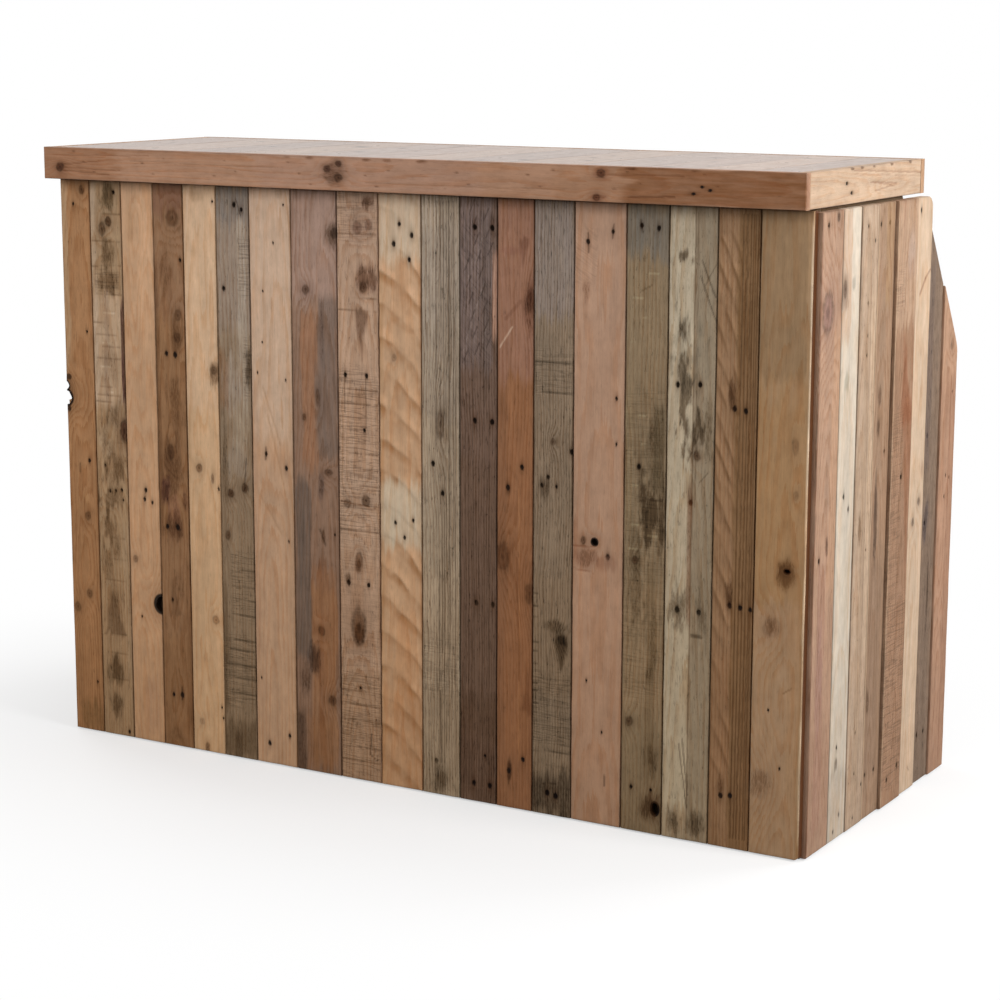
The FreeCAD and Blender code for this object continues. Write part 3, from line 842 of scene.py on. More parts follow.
    def surface(self, co: np.ndarray) -> Surface:
        """Paints the bare board: its tone, its growth rings, darker edges, painted light from foot to top
        and painted shade on a shaded side wall.

        Args:
            co: the slab's vertices, in board millimetres.

        Returns:
            The painted surface.
        """
        width, length, thick = self.size
        u, v, w = co[:, 0], co[:, 1] + self.base, co[:, 2]
        n = len(co)
        face = np.clip(1 + w / thick, 0, 1)
        lean = (v - self.base - length / 2) / 1000
        across = u - self.pith[0] - 14 * lean + 3.5 * noise(v / 260, u * 0, self.seed + 5)
        deep = w + self.pith[1] + self.pith[2] * lean + 7 * noise(v / 190, u * 0, self.seed + 6)
        ring = np.hypot(across, deep) + 1.6 * noise(u / 17, v / 110, self.seed + 7)
        ring = np.where(face > 0.02, ring, u * 1.3 + v * 0.02)
        tint = np.tile(linear(self.tone), (n, 1))
        zeros = np.zeros(n)
        sink, saw, soil = zeros.copy(), zeros.copy(), zeros.copy()
        s = Surface(u, v, w, face, self.seed, tint, ring, sink, saw, v.copy(), soil)
        s.shade(self.uneven * s.rough(15, 210, 1) + 0.6 * self.uneven * s.rough(60, 120, 2))
        for mark in self.marks:
            mark.mark(s)
        # painted light: each channel paler towards the top and darker towards the foot
        s.tint *= 1 + np.outer(np.clip((v - MID_HEIGHT) / PAINTED_LIGHT_REACH, -1, 1), self.painted_top_light)
        # darker towards each edge of the show face, and less so on the side walls
        rim = np.minimum(np.minimum(u, width - u), np.minimum(v - self.base, length - v + self.base) * 0.8)
        rim_dark = np.exp(-np.maximum(rim, 0) / 1.3) * (0.34 + 0.3 * s.rough(30, 45, 4))
        s.shade(rim_dark * np.where(w < -1, 0.4, 1.0))
        # painted shade: the last board's right side wall goes dark
        if self.flank:
            s.tint[(u > width - 0.01) & (w < -1)] = linear(self.flank)
        return s

    def shape(self, co: np.ndarray, s: Surface) -> np.ndarray:
        """Wears the show face: rounded arrises, wandering edges and hollows.

        The face stays inside the box; the back reaches out by close_mm on each side.

        Args:
            co: the slab's vertices, in board millimetres.
            s: what the marks left on them.

        Returns:
            The worn vertices.
        """
        width, length, thick = self.size
        u, v, w = co[:, 0].copy(), co[:, 1].copy(), co[:, 2].copy()
        left = self.wander_mm * (0.55 + 0.45 * noise(v / 75, v * 0, self.seed + 8))
        right = self.wander_mm * (0.55 + 0.45 * noise(v / 75, v * 0, self.seed + 9))
        rim = np.minimum(np.minimum(u, width - u), np.minimum(v, length - v))
        radius = self.edge_mm * (0.8 + 0.4 * s.rough(25, 32, 10))
        near = np.clip(1 - rim / radius, 0, 1)
        round_off = radius * (1 - np.sqrt(np.clip(1 - near**2, 0, 1)))
        hollow = 0.3 * (1 + s.rough(28, 160, 13))
        top = w > -1e-3
        w = np.where(top, w - np.minimum(round_off + s.sink + hollow, thick * 0.7), w)
        left = left * s.face - self.close_mm * (1 - s.face)
        right = right * s.face - self.close_mm * (1 - s.face)
        u = left + u * (width - left - right) / width
        return np.stack([u, v, w], axis=1)

    def mesh(self) -> bpy.types.Mesh:
        """Builds, wears and paints the board, in the counter's frame.

        Returns:
            The finished board.
        """
        bm = self.grid()
        mesh = bpy.data.meshes.new(self.name)
        bm.to_mesh(mesh)
        bm.free()
        mesh = self.drill(mesh)
        co = np.empty(len(mesh.vertices) * 3)
        mesh.vertices.foreach_get("co", co)
        co = co.reshape(-1, 3)
        s = self.surface(co)
        worn = self.shape(co, s) * MM
        axes = np.array([list(a) for a in self.axes])
        placed = np.array(self.corner) + worn @ axes
        mesh.vertices.foreach_set("co", placed.ravel())
        paint(mesh, s.tint / self.face.light(), np.stack([s.ring, s.v + 3 * self.seed, s.u + 0.8 * s.w], 1),
              np.stack([s.saw, s.saw_at + self.seed, s.soil], 1))
        finish_mesh(mesh, self.finish)
        return mesh


@dataclass(frozen=True)
class Plank:
    """What one board looks like: tone as seen, finish, marks, and where its tree's heart lay."""

    tone: str
    finish: WoodFinish
    marks: tuple[Mark, ...] = ()
    pith: tuple[float, float, float] = (30, 40, 30)

    def board(self, name: str, box: tuple[Vector, Vector], face: Face, **more) -> Board:
        """The board that shows this look in the given place."""
        return Board(name, box, face, self.finish, self.tone, self.marks, self.pith, **more)


def paint(mesh: bpy.types.Mesh, tint: np.ndarray, grain: np.ndarray, marks: np.ndarray) -> None:
    """Stores a board's colour, grain and working marks on its vertices.

    Args:
        mesh: the board.
        tint: linear colour per vertex.
        grain: growth-ring distance, place along and place across, in millimetres.
        marks: amount of saw lines, their place along the board, and amount of dirt.
    """
    colour = np.ones((len(tint), 4))
    colour[:, :3] = np.clip(tint, 0.003, 0.85)
    mesh.attributes.new("tint", "FLOAT_COLOR", "POINT").data.foreach_set("color", colour.ravel())
    mesh.attributes.new("grain", "FLOAT_VECTOR", "POINT").data.foreach_set("vector", grain.ravel())
    mesh.attributes.new("marks", "FLOAT_VECTOR", "POINT").data.foreach_set("vector", marks.ravel())


def finish_mesh(mesh: bpy.types.Mesh, finish: WoodFinish) -> None:
    """Gives a mesh its material and smooth shading that stays crisp at its edges.

    Args:
        mesh: the piece.
        finish: the wood that it is made of.
    """
    mesh.materials.clear()
    mesh.materials.append(finish.material())
    mesh.polygons.foreach_set("use_smooth", np.ones(len(mesh.polygons), bool))
    mesh.set_sharp_from_angle(angle=math.radians(38))
    mesh.update()


def place(name: str, mesh: bpy.types.Mesh, node: str) -> bpy.types.Object:
    """Puts a finished piece in the scene in place of its solid.

    Args:
        name: the piece's name.
        mesh: its mesh, in the counter's frame.
        node: the solid that it stands for.

    Returns:
        The piece's object.
    """
    piece = bpy.data.objects.new(name, mesh)
    bpy.context.scene.collection.objects.link(piece)
    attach(piece, "root")
    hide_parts(node)
    LOG.info("%s: %d faces", name, len(mesh.polygons))
    return piece


def solids(node: str) -> list[tuple[Vector, Vector]]:
    """Boxes of the separate solids of one node, in order along the counter and then its depth.

    Args:
        node: the node's name.

    Returns:
        The low and high corner of each solid.
    """
    bm = bmesh.new()
    bm.from_mesh(frame["nodes"][node].data)
    bmesh.ops.remove_doubles(bm, verts=bm.verts, dist=1e-6)
    left, found = set(bm.verts), []
    while left:
        island, wave = set(), [left.pop()]
        while wave:
            vert = wave.pop()
            island.add(vert)
            for edge in vert.link_edges:
                other = edge.other_vert(vert)
                if other in left:
                    left.discard(other)
                    wave.append(other)
        co = np.array([v.co for v in island])
        found.append((Vector(co.min(0)), Vector(co.max(0))))
    bm.free()
    return sorted(found, key=lambda box: (round(box[0].x, 4), round(box[0].y, 4)))


def joined(meshes: list[bpy.types.Mesh], name: str, finish: WoodFinish) -> bpy.types.Mesh:
    """Joins boards of one node into one mesh, with their attributes and finish.

    Args:
        meshes: the boards.
        name: the joined mesh's name.
        finish: the finish that they share.

    Returns:
        The joined mesh.
    """
    bm = bmesh.new()
    for mesh in meshes:
        bm.from_mesh(mesh)
    whole = bpy.data.meshes.new(name)
    bm.to_mesh(whole)
    bm.free()
    finish_mesh(whole, finish)
    return whole


# the front's left edge is broken out here: middle in metres, radius, and depth into the counter
BASHED_CORNER = (Vector((-0.747, -0.290, 0.645)), 0.0185, 0.052)


def chance_marks(seed: int, width: float, length: float, start: float = 0.0) -> tuple[Mark, ...]:
    """Marks for a board that no picture shows: nails in pairs near its fixings, knots and stains.

    Args:
        seed: another seed gives another board.
        width: the board's width in millimetres.
        length: the board's length in millimetres.
        start: where the length begins.

    Returns:
        The marks.
    """
    draw = np.random.default_rng(seed)
    marks: list[Mark] = []
    for share in (0.05, 0.37, 0.68, 0.95):
        if draw.random() < 0.75:
            v = start + length * share + draw.uniform(-9, 9)
            marks.append(Nail(width * draw.uniform(0.2, 0.35), v, draw.uniform(4, 5.5)))
            u = width * draw.uniform(0.65, 0.8)
            marks.append(Nail(u, v + draw.uniform(-5, 5), draw.uniform(4, 5.5)))
    for _ in range(draw.integers(1, 4)):
        u, v = draw.uniform(0.15, 0.85) * width, start + draw.uniform(0.05, 0.95) * length
        marks.append(Knot(u, v, draw.uniform(7, 15), 0, draw.uniform(0.45, 0.8)))
    for _ in range(draw.integers(1, 4)):
        u, v = draw.uniform(0.1, 0.9) * width, start + draw.uniform(0.05, 0.95) * length
        colour = draw.choice(["4a3a2c", "6b4a30", "5c5348", "3a2f28"])
        across, along, amount = draw.uniform(12, 40), draw.uniform(40, 160), draw.uniform(0.15, 0.45)
        marks.append(Stain(u, v, across, along, str(colour), amount))
    if draw.random() < 0.4:
        low = start + draw.uniform(0, 0.6) * length
        marks.append(Saw(0, width, low, low + draw.uniform(0.15, 0.4) * length, 0.6))
    return tuple(marks)


# Front boards from the customer's left. Marks are in millimetres: u from the board's left edge,
# v above the floor. Tones are what the eye sees under the studio light.
FRONT_PLANKS = (
    Plank("966e4c", OILED, (
        Streak(0, 14, 690, 1040, "a58a6c", 0.6), Streak(14, 67, 0, 60, "5a4a30", 0.5),
        Figure(38, 620, 24, 150, 12), Figure(42, 450, 18, 40, 9),
        Stain(42, 452, 14, 24, "b88e64", 0.45, 0.3),
        Knot(50, 1022, 11, 14, 0.75), Knot(43, 417, 12), Knot(41, 268, 12), Knot(11, 239, 13),
        Nail(29, 996, 4), Nail(53, 763, 3.5), Nail(50, 522, 5), Line(27, 498, 27, 514, 3),
        Nail(54, 98, 3.5),
        Hole(0, 637, 27, 0, 0.4, "2a1a10", 30), Hole(-3.4, 659, 20, 0, 0.4, "2a1a10", 30),
        Stain(5, 676, 18, 12, "120c08", 0.95, 0.3),
        Stain(4, 617, 12, 14, "120c08", 0.95, 0.3),
    ), (38, 26, 60)),
    Plank("987c5f", SAWN, (
        Stain(30, 120, 50, 60, "55432f", 0.4, 1.1),
        Streak(0, 66, 633, 833, "b59a80", 0.6), Streak(0, 12, 640, 1035, "b09a84", 0.4),
        Stain(41, 1008, 46, 62, "524d3e", 0.72), Stain(38, 908, 42, 64, "5c5040", 0.6),
        Stain(41, 858, 60, 52, "564636", 0.62, 0.8), Saw(8, 66, 835, 882, 0.9),
        Knot(42, 967, 13, 15, 0.9), Knot(27, 953, 13, 24, 0.7), Nail(56, 1020, 5),
        *(Line(2, z, 69, z + 2, 1.5, "544230", 0.5) for z in (979, 930, 885, 833, 782, 636)),
        *(Line(u, z, 62, z + 1, 1.2, "5a4634", 0.4) for u, z in (
            (8, 760), (20, 738), (6, 716), (30, 690), (12, 664), (6, 648), (14, 560), (26, 540),
            (8, 380), (16, 340), (10, 300), (12, 160), (8, 110)
        )),
        *(Line(u, z, u + 28, z + 1, 1.4, "c9b398", 0.5) for u, z in (
            (12, 700), (20, 745), (8, 668), (34, 655), (24, 800)
        )),
        Stain(36, 700, 50, 80, "6a5644", 0.4, 0.9), Stain(20, 560, 32, 90, "54422f", 0.5, 1.0),
        Stain(48, 520, 34, 70, "54412f", 0.5, 1.0),
        Streak(25, 35, 640, 830, "7d6552", 0.4), Streak(65, 72, 633, 822, "452830", 0.85, 2),
        Knot(67, 585, 18, 40, 0.95, "3c2018"), Figure(27, 510, 50, 150, 24),
        Figure(30, 470, 44, 60, 12),
        Nail(29, 469, 4), Nail(43, 471, 4), Nail(57, 474, 4.5), Nail(19, 517, 3.5), Nail(60, 455, 3),
        Stain(40, 610, 40, 60, "6a5846", 0.5, 1.2), Stain(30, 500, 56, 60, "5c4a38", 0.45, 1.2),
        Stain(34, 455, 60, 60, "4c3c2c", 0.5, 1.1), Stain(18, 560, 30, 50, "b59c80", 0.5, 1.0),
        Stain(50, 350, 26, 60, "b09678", 0.45, 1.0),
        Stain(20, 330, 24, 80, "5c4936", 0.45, 1.1), Stain(42, 250, 40, 80, "6a5644", 0.45, 1.0),
        Stain(26, 400, 30, 66, "54422f", 0.6, 0.9),
        Stain(40, 360, 26, 70, "5c4936", 0.5), Wedge(27, 286, 8, 60, 194, "574434", 0.6),
        Stain(33, 128, 44, 66, "4c4032", 0.68), Stain(30, 60, 36, 64, "463c30", 0.65), Nail(60, 11, 5),
        Line(6, 196, 60, 198, 1.6, "4a3a2a", 0.5), Streak(58, 71, 120, 420, "a48c72", 0.35),
    ), (24, 30, 80)),
    Plank("b18c6c", PLANED, (
        Figure(36, 952, 34, 120, 26), Figure(28, 810, 24, 220, 20), Figure(40, 620, 26, 180, 12),
        Figure(25, 290, 30, 80, 16), Figure(36, 200, 30, 140, 14),
        Stain(20, 960, 20, 90, "8a6440", 0.3),
        Nail(41, 479, 6), Nail(38, 462, 5), Nail(56, 457, 4), Knot(13, 347, 10, 12, 0.6),
        Hole(72, 268, 30, 32, 0.35), Nail(25, 239, 3), Streak(30, 62, 20, 130, "9c7a64", 0.3),
    ), (36, 24, 70)),
    Plank("836144", OILED, (
        Stain(33, 300, 120, 230, "a07c5c", 0.3, 0.5),
        Stain(33, 416, 50, 70, "3a2320", 0.65, 0.7),
        Streak(0, 66, 985, 1040, "6a4e4c", 0.5), Streak(0, 66, 800, 985, "866750", 0.5),
        Stain(30, 520, 50, 130, "3f2a20", 0.5, 0.8), Stain(40, 640, 40, 120, "4a3424", 0.45, 0.8),
        Stain(24, 880, 30, 120, "5a3e2a", 0.4, 0.7),
        Stain(40, 300, 36, 90, "4a3322", 0.4, 0.8), Streak(0, 8, 400, 900, "4f3726", 0.5, 3),
        Streak(0, 66, 210, 400, "84644a", 0.5), Knot(43, 979, 24, 26, 0.55), Nail(59, 905, 4.5),
        Knot(51, 806, 14, 18, 0.6), Knot(49, 766, 13, 18, 0.7), Stain(48, 770, 34, 70, "4a3526", 0.5),
        Nail(23, 735, 6), Nail(43, 734, 7), Figure(36, 690, 30, 140, 20), Knot(28, 555, 15, 26, 0.7),
        Figure(42, 545, 30, 120, 20), Stain(14, 480, 24, 56, "452830", 0.75),
        Stain(59, 466, 16, 44, "4a2f2c", 0.6),
        Stain(36, 450, 30, 60, "9a6f56", 0.4), Nail(16, 416, 6), Nail(40, 417, 7),
        Line(36, 424, 46, 412, 3),
        Nail(24, 279, 4.5), Figure(32, 190, 34, 170, 22), Wedge(28, 320, 16, 44, 250, "4a3322", 0.4),
        Nail(22, 99, 5), Nail(42, 101, 7), Line(42, 92, 42, 116, 3), Figure(34, 40, 30, 70, 14),
        Streak(56, 66, 30, 360, "5c402a", 0.4), Stain(30, 20, 40, 40, "4a3626", 0.4),
    ), (34, 26, 70)),
    Plank("bb9977", PLANED, (
        Streak(0, 71, 640, 1040, "bfa288", 0.35), Figure(42, 840, 20, 190, 16),
        Figure(38, 640, 22, 120, 12), Figure(36, 390, 24, 220, 16),
        Figure(40, 200, 30, 170, 18), Knot(25, 532, 12, 15, 0.75, "5a3e26"), Knot(55, 515, 6, 18, 0.6),
        Stain(66, 709, 32, 46, "62523f", 0.62, 0.8), Knot(63, 712, 12, 13, 0.6),
        Knot(56, 254, 13, 14, 0.55, "7a5230"),
        Knot(31, 10, 9, 16, 0.7), Knot(20, 58, 11, 11, 0.3), Nail(68, 497, 3.5),
        Stain(30, 1020, 40, 30, "7a5c40", 0.4),
        Nail(66, 1012, 3), Nail(66, 90, 3), Nail(69, 70, 3),
    ), (40, 20, 60)),
    Plank("86715b", SAWN, (
        Streak(0, 71, 780, 990, "8f7f72", 0.65, 3), Streak(0, 71, 980, 1040, "6b6866", 0.6, 3),
        Streak(0, 71, 600, 790, "8a7763", 0.5),
        Streak(46, 64, 640, 985, "a89a8a", 0.45, 6), Stain(30, 690, 44, 130, "a3968a", 0.4, 0.9),
        Stain(36, 560, 50, 90, "9a8d80", 0.35, 0.9), Nail(40, 1008, 6), Nail(56, 1000, 5.5),
        Line(44, 1020, 54, 990, 2), Nail(14, 860, 5.5),
        Saw(48, 71, 844, 952, 1.0), Saw(55, 71, 660, 770, 1.0),
        Stain(65, 722, 18, 90, "3a3128", 0.65, 0.8),
        Streak(0, 20, 650, 745, "7a583c", 0.6), Stain(46, 617, 44, 96, "9c8b77", 0.65),
        Stain(10, 560, 16, 220, "4a4034", 0.5), Knot(54, 505, 13, 15, 0.8), Knot(22, 492, 13, 14, 0.9),
        Line(58, 560, 52, 500, 2), Knot(14, 415, 10, 16, 0.7), Saw(20, 71, 261, 390, 1.0),
        Saw(0, 71, 99, 228, 1.0),
        *(Line(u, z, 71, z + 1, 1.7, "332b22", 0.6) for u, z in (
            (46, 376), (40, 352), (30, 320), (28, 296), (24, 268), (22, 222), (14, 204), (6, 176),
            (4, 150), (8, 122)
        )),
        Streak(0, 71, 0, 72, "4c4032", 0.6, 3), Streak(0, 9, 90, 330, "4a3a28", 0.5),
        Stain(30, 30, 24, 60, "3a2e22", 0.5),
    ), (-60, 60, 20)),
    Plank("ad8c71", PLANED, (
        Streak(0, 88, 590, 1040, "bda58f", 0.5), Nail(29, 571, 5), Line(29, 582, 28, 562, 2.4),
        Nail(73, 549, 5.5),
        Nail(72, 59, 4.5), Nail(27, 39, 5.5), *(Nail(u, z, 2.8, 0.2) for u, z in (
            (74, 1012), (51, 945), (27, 860), (74, 706), (76, 417), (11, 159), (24, 770), (13, 715)
        )),
        Line(34, 640, 66, 520, 3, "94704f", 0.35), Line(24, 690, 60, 590, 3, "94704f", 0.3),
        Line(66, 520, 70, 500, 3, "94704f", 0.35), Line(10, 500, 60, 430, 4, "9a7656", 0.25),
        Figure(50, 560, 40, 200, 16), Figure(30, 760, 36, 200, 12),
        Streak(0, 12, 200, 700, "93705a", 0.3),
    ), (44, 30, 60)),
    Plank("816654", OILED, (
        Stain(47, 930, 150, 280, "a98d7c", 0.28, 0.5),
        Streak(36, 88, 15, 340, "9c6c42", 0.42, 6),
        Streak(0, 95, 850, 1040, "9a7e6f", 0.7), Streak(20, 50, 558, 833, "96694a", 0.6, 8),
        Streak(54, 95, 574, 855, "675a52", 0.65, 8), Stain(62, 806, 14, 130, "5a5050", 0.5),
        Streak(2, 36, 210, 530, "555050", 0.8, 6), Streak(40, 88, 150, 380, "8a6142", 0.6, 8),
        Stain(42, 210, 38, 70, "383032", 0.8), Stain(20, 172, 34, 60, "38302e", 0.6),
        Knot(92, 967, 14, 17, 1.0, "0e0806"), Stain(84, 962, 34, 50, "54463e", 0.6),
        Knot(30, 868, 13, 15, 0.7),
        Knot(53, 682, 8, 26, 0.6), Knot(23, 644, 7, 11, 0.7), Knot(74, 550, 16, 11, 0.7),
        Stain(58, 520, 16, 56, "484248", 0.6), Stain(61, 434, 10, 28, "46301f", 0.6),
        Line(54, 446, 66, 420, 3),
        Knot(56, 263, 13, 15, 0.7), Knot(78, 139, 15, 17, 0.8), Streak(22, 80, 0, 105, "7c5638", 0.55),
        Streak(0, 20, 0, 120, "3c302a", 0.7), Streak(50, 62, 30, 400, "6c4a34", 0.4, 4),
        Nail(86, 440, 3),
    ), (60, 34, 50)),
    Plank("aa8b73", SAWN, (
        Stain(42, 930, 140, 240, "7c6454", 0.22, 0.5), Stain(42, 500, 140, 230, "b89c86", 0.25, 0.5),
        Stain(39, 270, 24, 50, "3c2216", 0.8, 0.25), Stain(39, 389, 16, 34, "4a2c1c", 0.75, 0.25),
        Streak(0, 84, -20, 200, "86694d", 0.4), Saw(0, 84, 444, 740, 1.0), Saw(0, 84, 0, 205, 0.95),
        Saw(0, 84, 950, 1040, 0.7),
        *(Line(2, z, 82, z + 1, 1.5, "4e3a28", 0.5) for z in (
            1012, 968, 858, 838, 700, 676, 652, 618, 588, 560, 532, 472, 452, 190, 164, 138, 110, 84,
            60, 36
        )),
        Stain(64, 1022, 22, 20, "482a24", 0.65, 1.0), Knot(42, 979, 18, 20, 0.55, "543630"),
        Knot(65, 985, 13, 18, 0.5, "543630"), Stain(60, 893, 54, 54, "543630", 0.72, 0.4),
        Knot(54, 878, 14, 15, 0.6),
        Wedge(50, 755, 34, 64, 842, "584236", 0.7), Nail(15, 725, 5.5), Nail(59, 726, 5.5),
        Line(14, 720, 13, 660, 1.6, "5a4636", 0.6), Line(57, 720, 57, 636, 1.6, "5a4636", 0.6),
        Nail(54, 631, 4.5),
        Knot(17, 500, 13, 14, 0.6), Knot(56, 508, 16, 17, 0.75),
        Line(4, 502, 76, 497, 1.8, "54371f", 0.65),
        Knot(41, 400, 14, 28, 0.65, "5a3c26"), Nail(18, 358, 6.5), Nail(60, 358, 5.5),
        Stain(16, 365, 14, 24, "3a2a1e", 0.5),
        Knot(39, 279, 27, 60, 0.75, "573a24"), Line(64, 90, 61, 52, 2), Line(61, 52, 76, 42, 2),
        Nail(41, 170, 3.5),
        Saw(0, 84, 200, 444, 0.45),
    ), (42, 34, 50)),
    Plank("b08d6e", PLANED, (
        # chatter with painted shade and a painted highlight on its scoops
        Chatter(-4, 90, -30, 1140, 57, 0.15, 1.2, "8f633c", 0.62),
        Streak(0, 85, -20, 190, "9c704c", 0.4), Streak(0, 85, 925, 1040, "bcad96", 0.6, 3),
        Streak(0, 85, 436, 545, "bdb09a", 0.75, 3), Nail(42, 989, 5.5), Nail(31, 955, 6.5),
        Nail(62, 930, 5.5),
        Nail(67, 971, 6), Nail(31, 475, 4.5), Nail(68, 483, 4.5), Nail(50, 451, 4.5),
        Knot(30, 762, 9, 12, 0.4),
        Streak(0, 8, 0, 900, "a07a54", 0.35, 3), Stain(50, 240, 50, 200, "b5835a", 0.4),
    ), (42, 60, 30)),
    Plank("9e8c77", WEATHERED, (
        Stain(37, 300, 120, 230, "a68c70", 0.3, 0.5),
        Stain(36, 930, 110, 280, "b3a394", 0.28, 0.6),
        Streak(0, 75, 660, 985, "8c7e70", 0.5, 3), Streak(30, 66, 90, 1038, "54483c", 0.2, 8),
        *(Line(u, z0, u + d, z1, 1.5, "3a2d22", 0.5) for u, z0, z1, d in (
            (33, 60, 420, 2), (41, 260, 640, -1), (48, 380, 1030, 2), (57, 300, 1030, -2),
            (63, 420, 1030, 1),
            (37, 500, 1030, 1), (44, 60, 1030, 0), (53, 120, 1030, 1), (68, 40, 900, -1),
            (28, 620, 1030, 2)
        )),
        Nail(22, 586, 6), Nail(41, 536, 6), Nail(27, 62, 6), Line(41, 886, 46, 868, 2),
        Knot(37, 655, 15, 44, 0.55),
        Streak(0, 75, 0, 200, "84705a", 0.5, 3), Saw(0, 75, 180, 290, 0.5),
        Stain(36, 30, 40, 56, "352d24", 0.65), Line(36, 190, 38, 60, 2),
    ), (-44, 60, 20)),
    Plank("695447", WEATHERED, (
        Stain(36, 930, 110, 260, "84746c", 0.22, 0.6),
        Streak(0, 72, 0, 200, "4a382c", 0.5), Streak(0, 64, 755, 1038, "776761", 0.7, 6),
        Stain(50, 870, 20, 330, "3a342f", 0.35), Saw(0, 66, 760, 1000, 0.5, 0.9),
        *(Line(u, z, u + 14, z + 44, 1.2, "9a8a80", 0.35) for u, z in (
            (6, 780), (20, 820), (34, 860), (14, 900), (30, 930), (44, 800)
        )),
        *(Line(u, 30, u + 2, 1020, 1.3, "30261f", 0.4) for u in (9, 17, 24, 37, 45, 56)),
        *(Line(u, z, u + 9, z + 20, 2, "241b15", 0.5) for u, z in (
            (6 + k * 23 % 50, 764 + k * 14) for k in range(19)
        )),
        Streak(64, 72, 801, 957, "b08872", 0.75, 2), *(Nail(u, z, 6.5, 0.6) for u, z in (
            (29, 990), (63, 990), (29, 667), (63, 667), (32, 354), (65, 354), (28, 34), (60, 34)
        )),
        Streak(30, 42, 20, 330, "705a4c", 0.4), Streak(0, 72, 120, 600, "57463a", 0.3), Nail(50, 86, 4),
    ), (-50, 50, 20)),
    Plank("805a40", OILED, (
        Streak(0, 69, 745, 1038, "8f6b5a", 0.65), Streak(18, 66, 100, 745, "8f6242", 0.42, 6),
        Knot(64, 876, 14, 32, 0.75), Stain(60, 862, 24, 100, "563830", 0.55),
        Wedge(50, 925, 40, 62, 975, "54362c", 0.5),
        Stain(22, 955, 40, 14, "7a5244", 0.4), Line(5, 795, 28, 829, 2.4, "b99c86", 0.7),
        Line(16, 842, 44, 872, 5, "5e4034", 0.4),
        Nail(48, 596, 6), Nail(21, 559, 6.5), Stain(22, 556, 12, 30, "2e2018", 0.5),
        Knot(11, 439, 24, 44, 0.6),
        Knot(64, 382, 16, 30, 0.6), Nail(52, 91, 6), Nail(24, 67, 6),
        Stain(25, 66, 10, 50, "261a12", 0.75),
        Wedge(64, 265, 48, 69, 170, "563624", 0.5), Line(45, 90, 43, 560, 1.6, "b07c50", 0.3),
        Line(38, 440, 44, 230, 3, "613e28", 0.4),
    ), (-40, 45, 30)),
    Plank("7f6d5a", WEATHERED, (
        Streak(0, 74, 850, 1038, "857870", 0.7, 4),
        *(Line(2, z, 72, z + d, 1.6, "332d26", 0.65) for z, d in (
            (776, -1), (768, 0), (758, 1), (725, 2), (112, 3), (88, 0), (50, 1)
        )),
        Streak(0, 74, 215, 420, "846d55", 0.4), Knot(37, 644, 9, 11, 0.6), Nail(72, 630, 6),
        Nail(28, 584, 5), Nail(44, 569, 4), Nail(16, 569, 5),
        Stain(22, 562, 26, 50, "3c342c", 0.55, 0.9), Knot(55, 310, 13, 13, 1.0, "0e0906"),
        Stain(56, 292, 24, 84, "3f372d", 0.75), Stain(44, 332, 60, 24, "484036", 0.55),
        *(Line(0, z, 10, z, 1.8, "302a22", 0.65) for z in (195, 216, 230, 262, 284, 300, 345, 362, 385)),
        Streak(0, 74, 0, 78, "332e29", 0.72, 3), Nail(30, 40, 7), Nail(46, 37, 7),
        Line(22, 56, 52, 60, 2),
        Saw(0, 74, 120, 250, 0.75), Saw(0, 74, 720, 800, 0.6),
    ), (-60, 60, 20)),
    Plank("9f7e67", PLANED, (
        Streak(0, 94, 205, 410, "a9856c", 0.4), Nail(24, 976, 6), Line(24, 990, 26, 958, 2),
        Nail(70, 994, 4.5), Line(71, 1006, 69, 982, 2),
        Hole(41.4, 484, 12.5, 0, 0.3), Knot(20, 485, 8, 14, 0.8), Nail(66, 461, 6.5),
        Stain(27, 456, 50, 42, "78533f", 0.62, 0.25),
        Stain(64, 452, 46, 30, "7c5846", 0.5), Line(2, 475, 42, 476, 2, "6c4836", 0.6),
        Line(2, 436, 40, 432, 2, "6c4836", 0.45),
        Nail(79, 725, 4), Nail(28, 247, 3), Nail(58, 162, 3), Line(64, 70, 64, 88, 2.4),
        Nail(80, 650, 3),
        Stain(22, 905, 18, 40, "6c4e3e", 0.5, 1.0), Saw(0, 44, 905, 1000, 0.5, 0.6),
        Streak(2, 10, 440, 520, "6a4433", 0.4),
    ), (50, 70, 20)),
    Plank("826f57", SAWN, (
        Stain(37, 820, 120, 420, "5c4a36", 0.2, 0.5), Stain(37, 300, 120, 260, "9a8468", 0.22, 0.5),
        Streak(0, 75, 960, 1038, "66625b", 0.7, 3), Nail(26, 1006, 5.5), Nail(57, 1003, 5.5),
        Line(24, 1014, 28, 996, 2),
        Streak(0, 75, 205, 430, "8d755a", 0.55), Nail(26, 617, 6), Saw(0, 75, 220, 745, 0.5),
        Stain(52, 542, 58, 130, "352e27", 0.8, 0.8), Stain(50, 640, 34, 150, "3a332a", 0.5, 0.9),
        Stain(20, 430, 32, 200, "4a4235", 0.5, 0.9), Stain(55, 330, 30, 180, "4c4436", 0.45, 0.9),
        *(Line(u, z, u + 18, z + 1, 1.5, "a09274", 0.45) for u, z in (
            (6, 585), (10, 520), (44, 505), (8, 480), (30, 655), (20, 700), (50, 600), (12, 890),
            (40, 930), (30, 860), (8, 820)
        )), Line(28, 562, 74, 566, 2),
        Streak(54, 73, 575, 730, "484033", 0.65), Knot(21, 462, 11, 12, 0.7),
        Knot(14, 189, 13, 15, 0.7),
        Hole(64.5, 46, 15, 22, 0.6, "3a2617"), Stain(54, 50, 44, 54, "463222", 0.65), Nail(19, 77, 4.5),
        Nail(56, 77, 4),
        Stain(56, 131, 28, 66, "38312a", 0.6), Streak(0, 14, 520, 760, "8a7558", 0.4),
        Line(24, 900, 46, 912, 2, "4a3826", 0.5), Streak(44, 60, 90, 460, "5c4c38", 0.4),
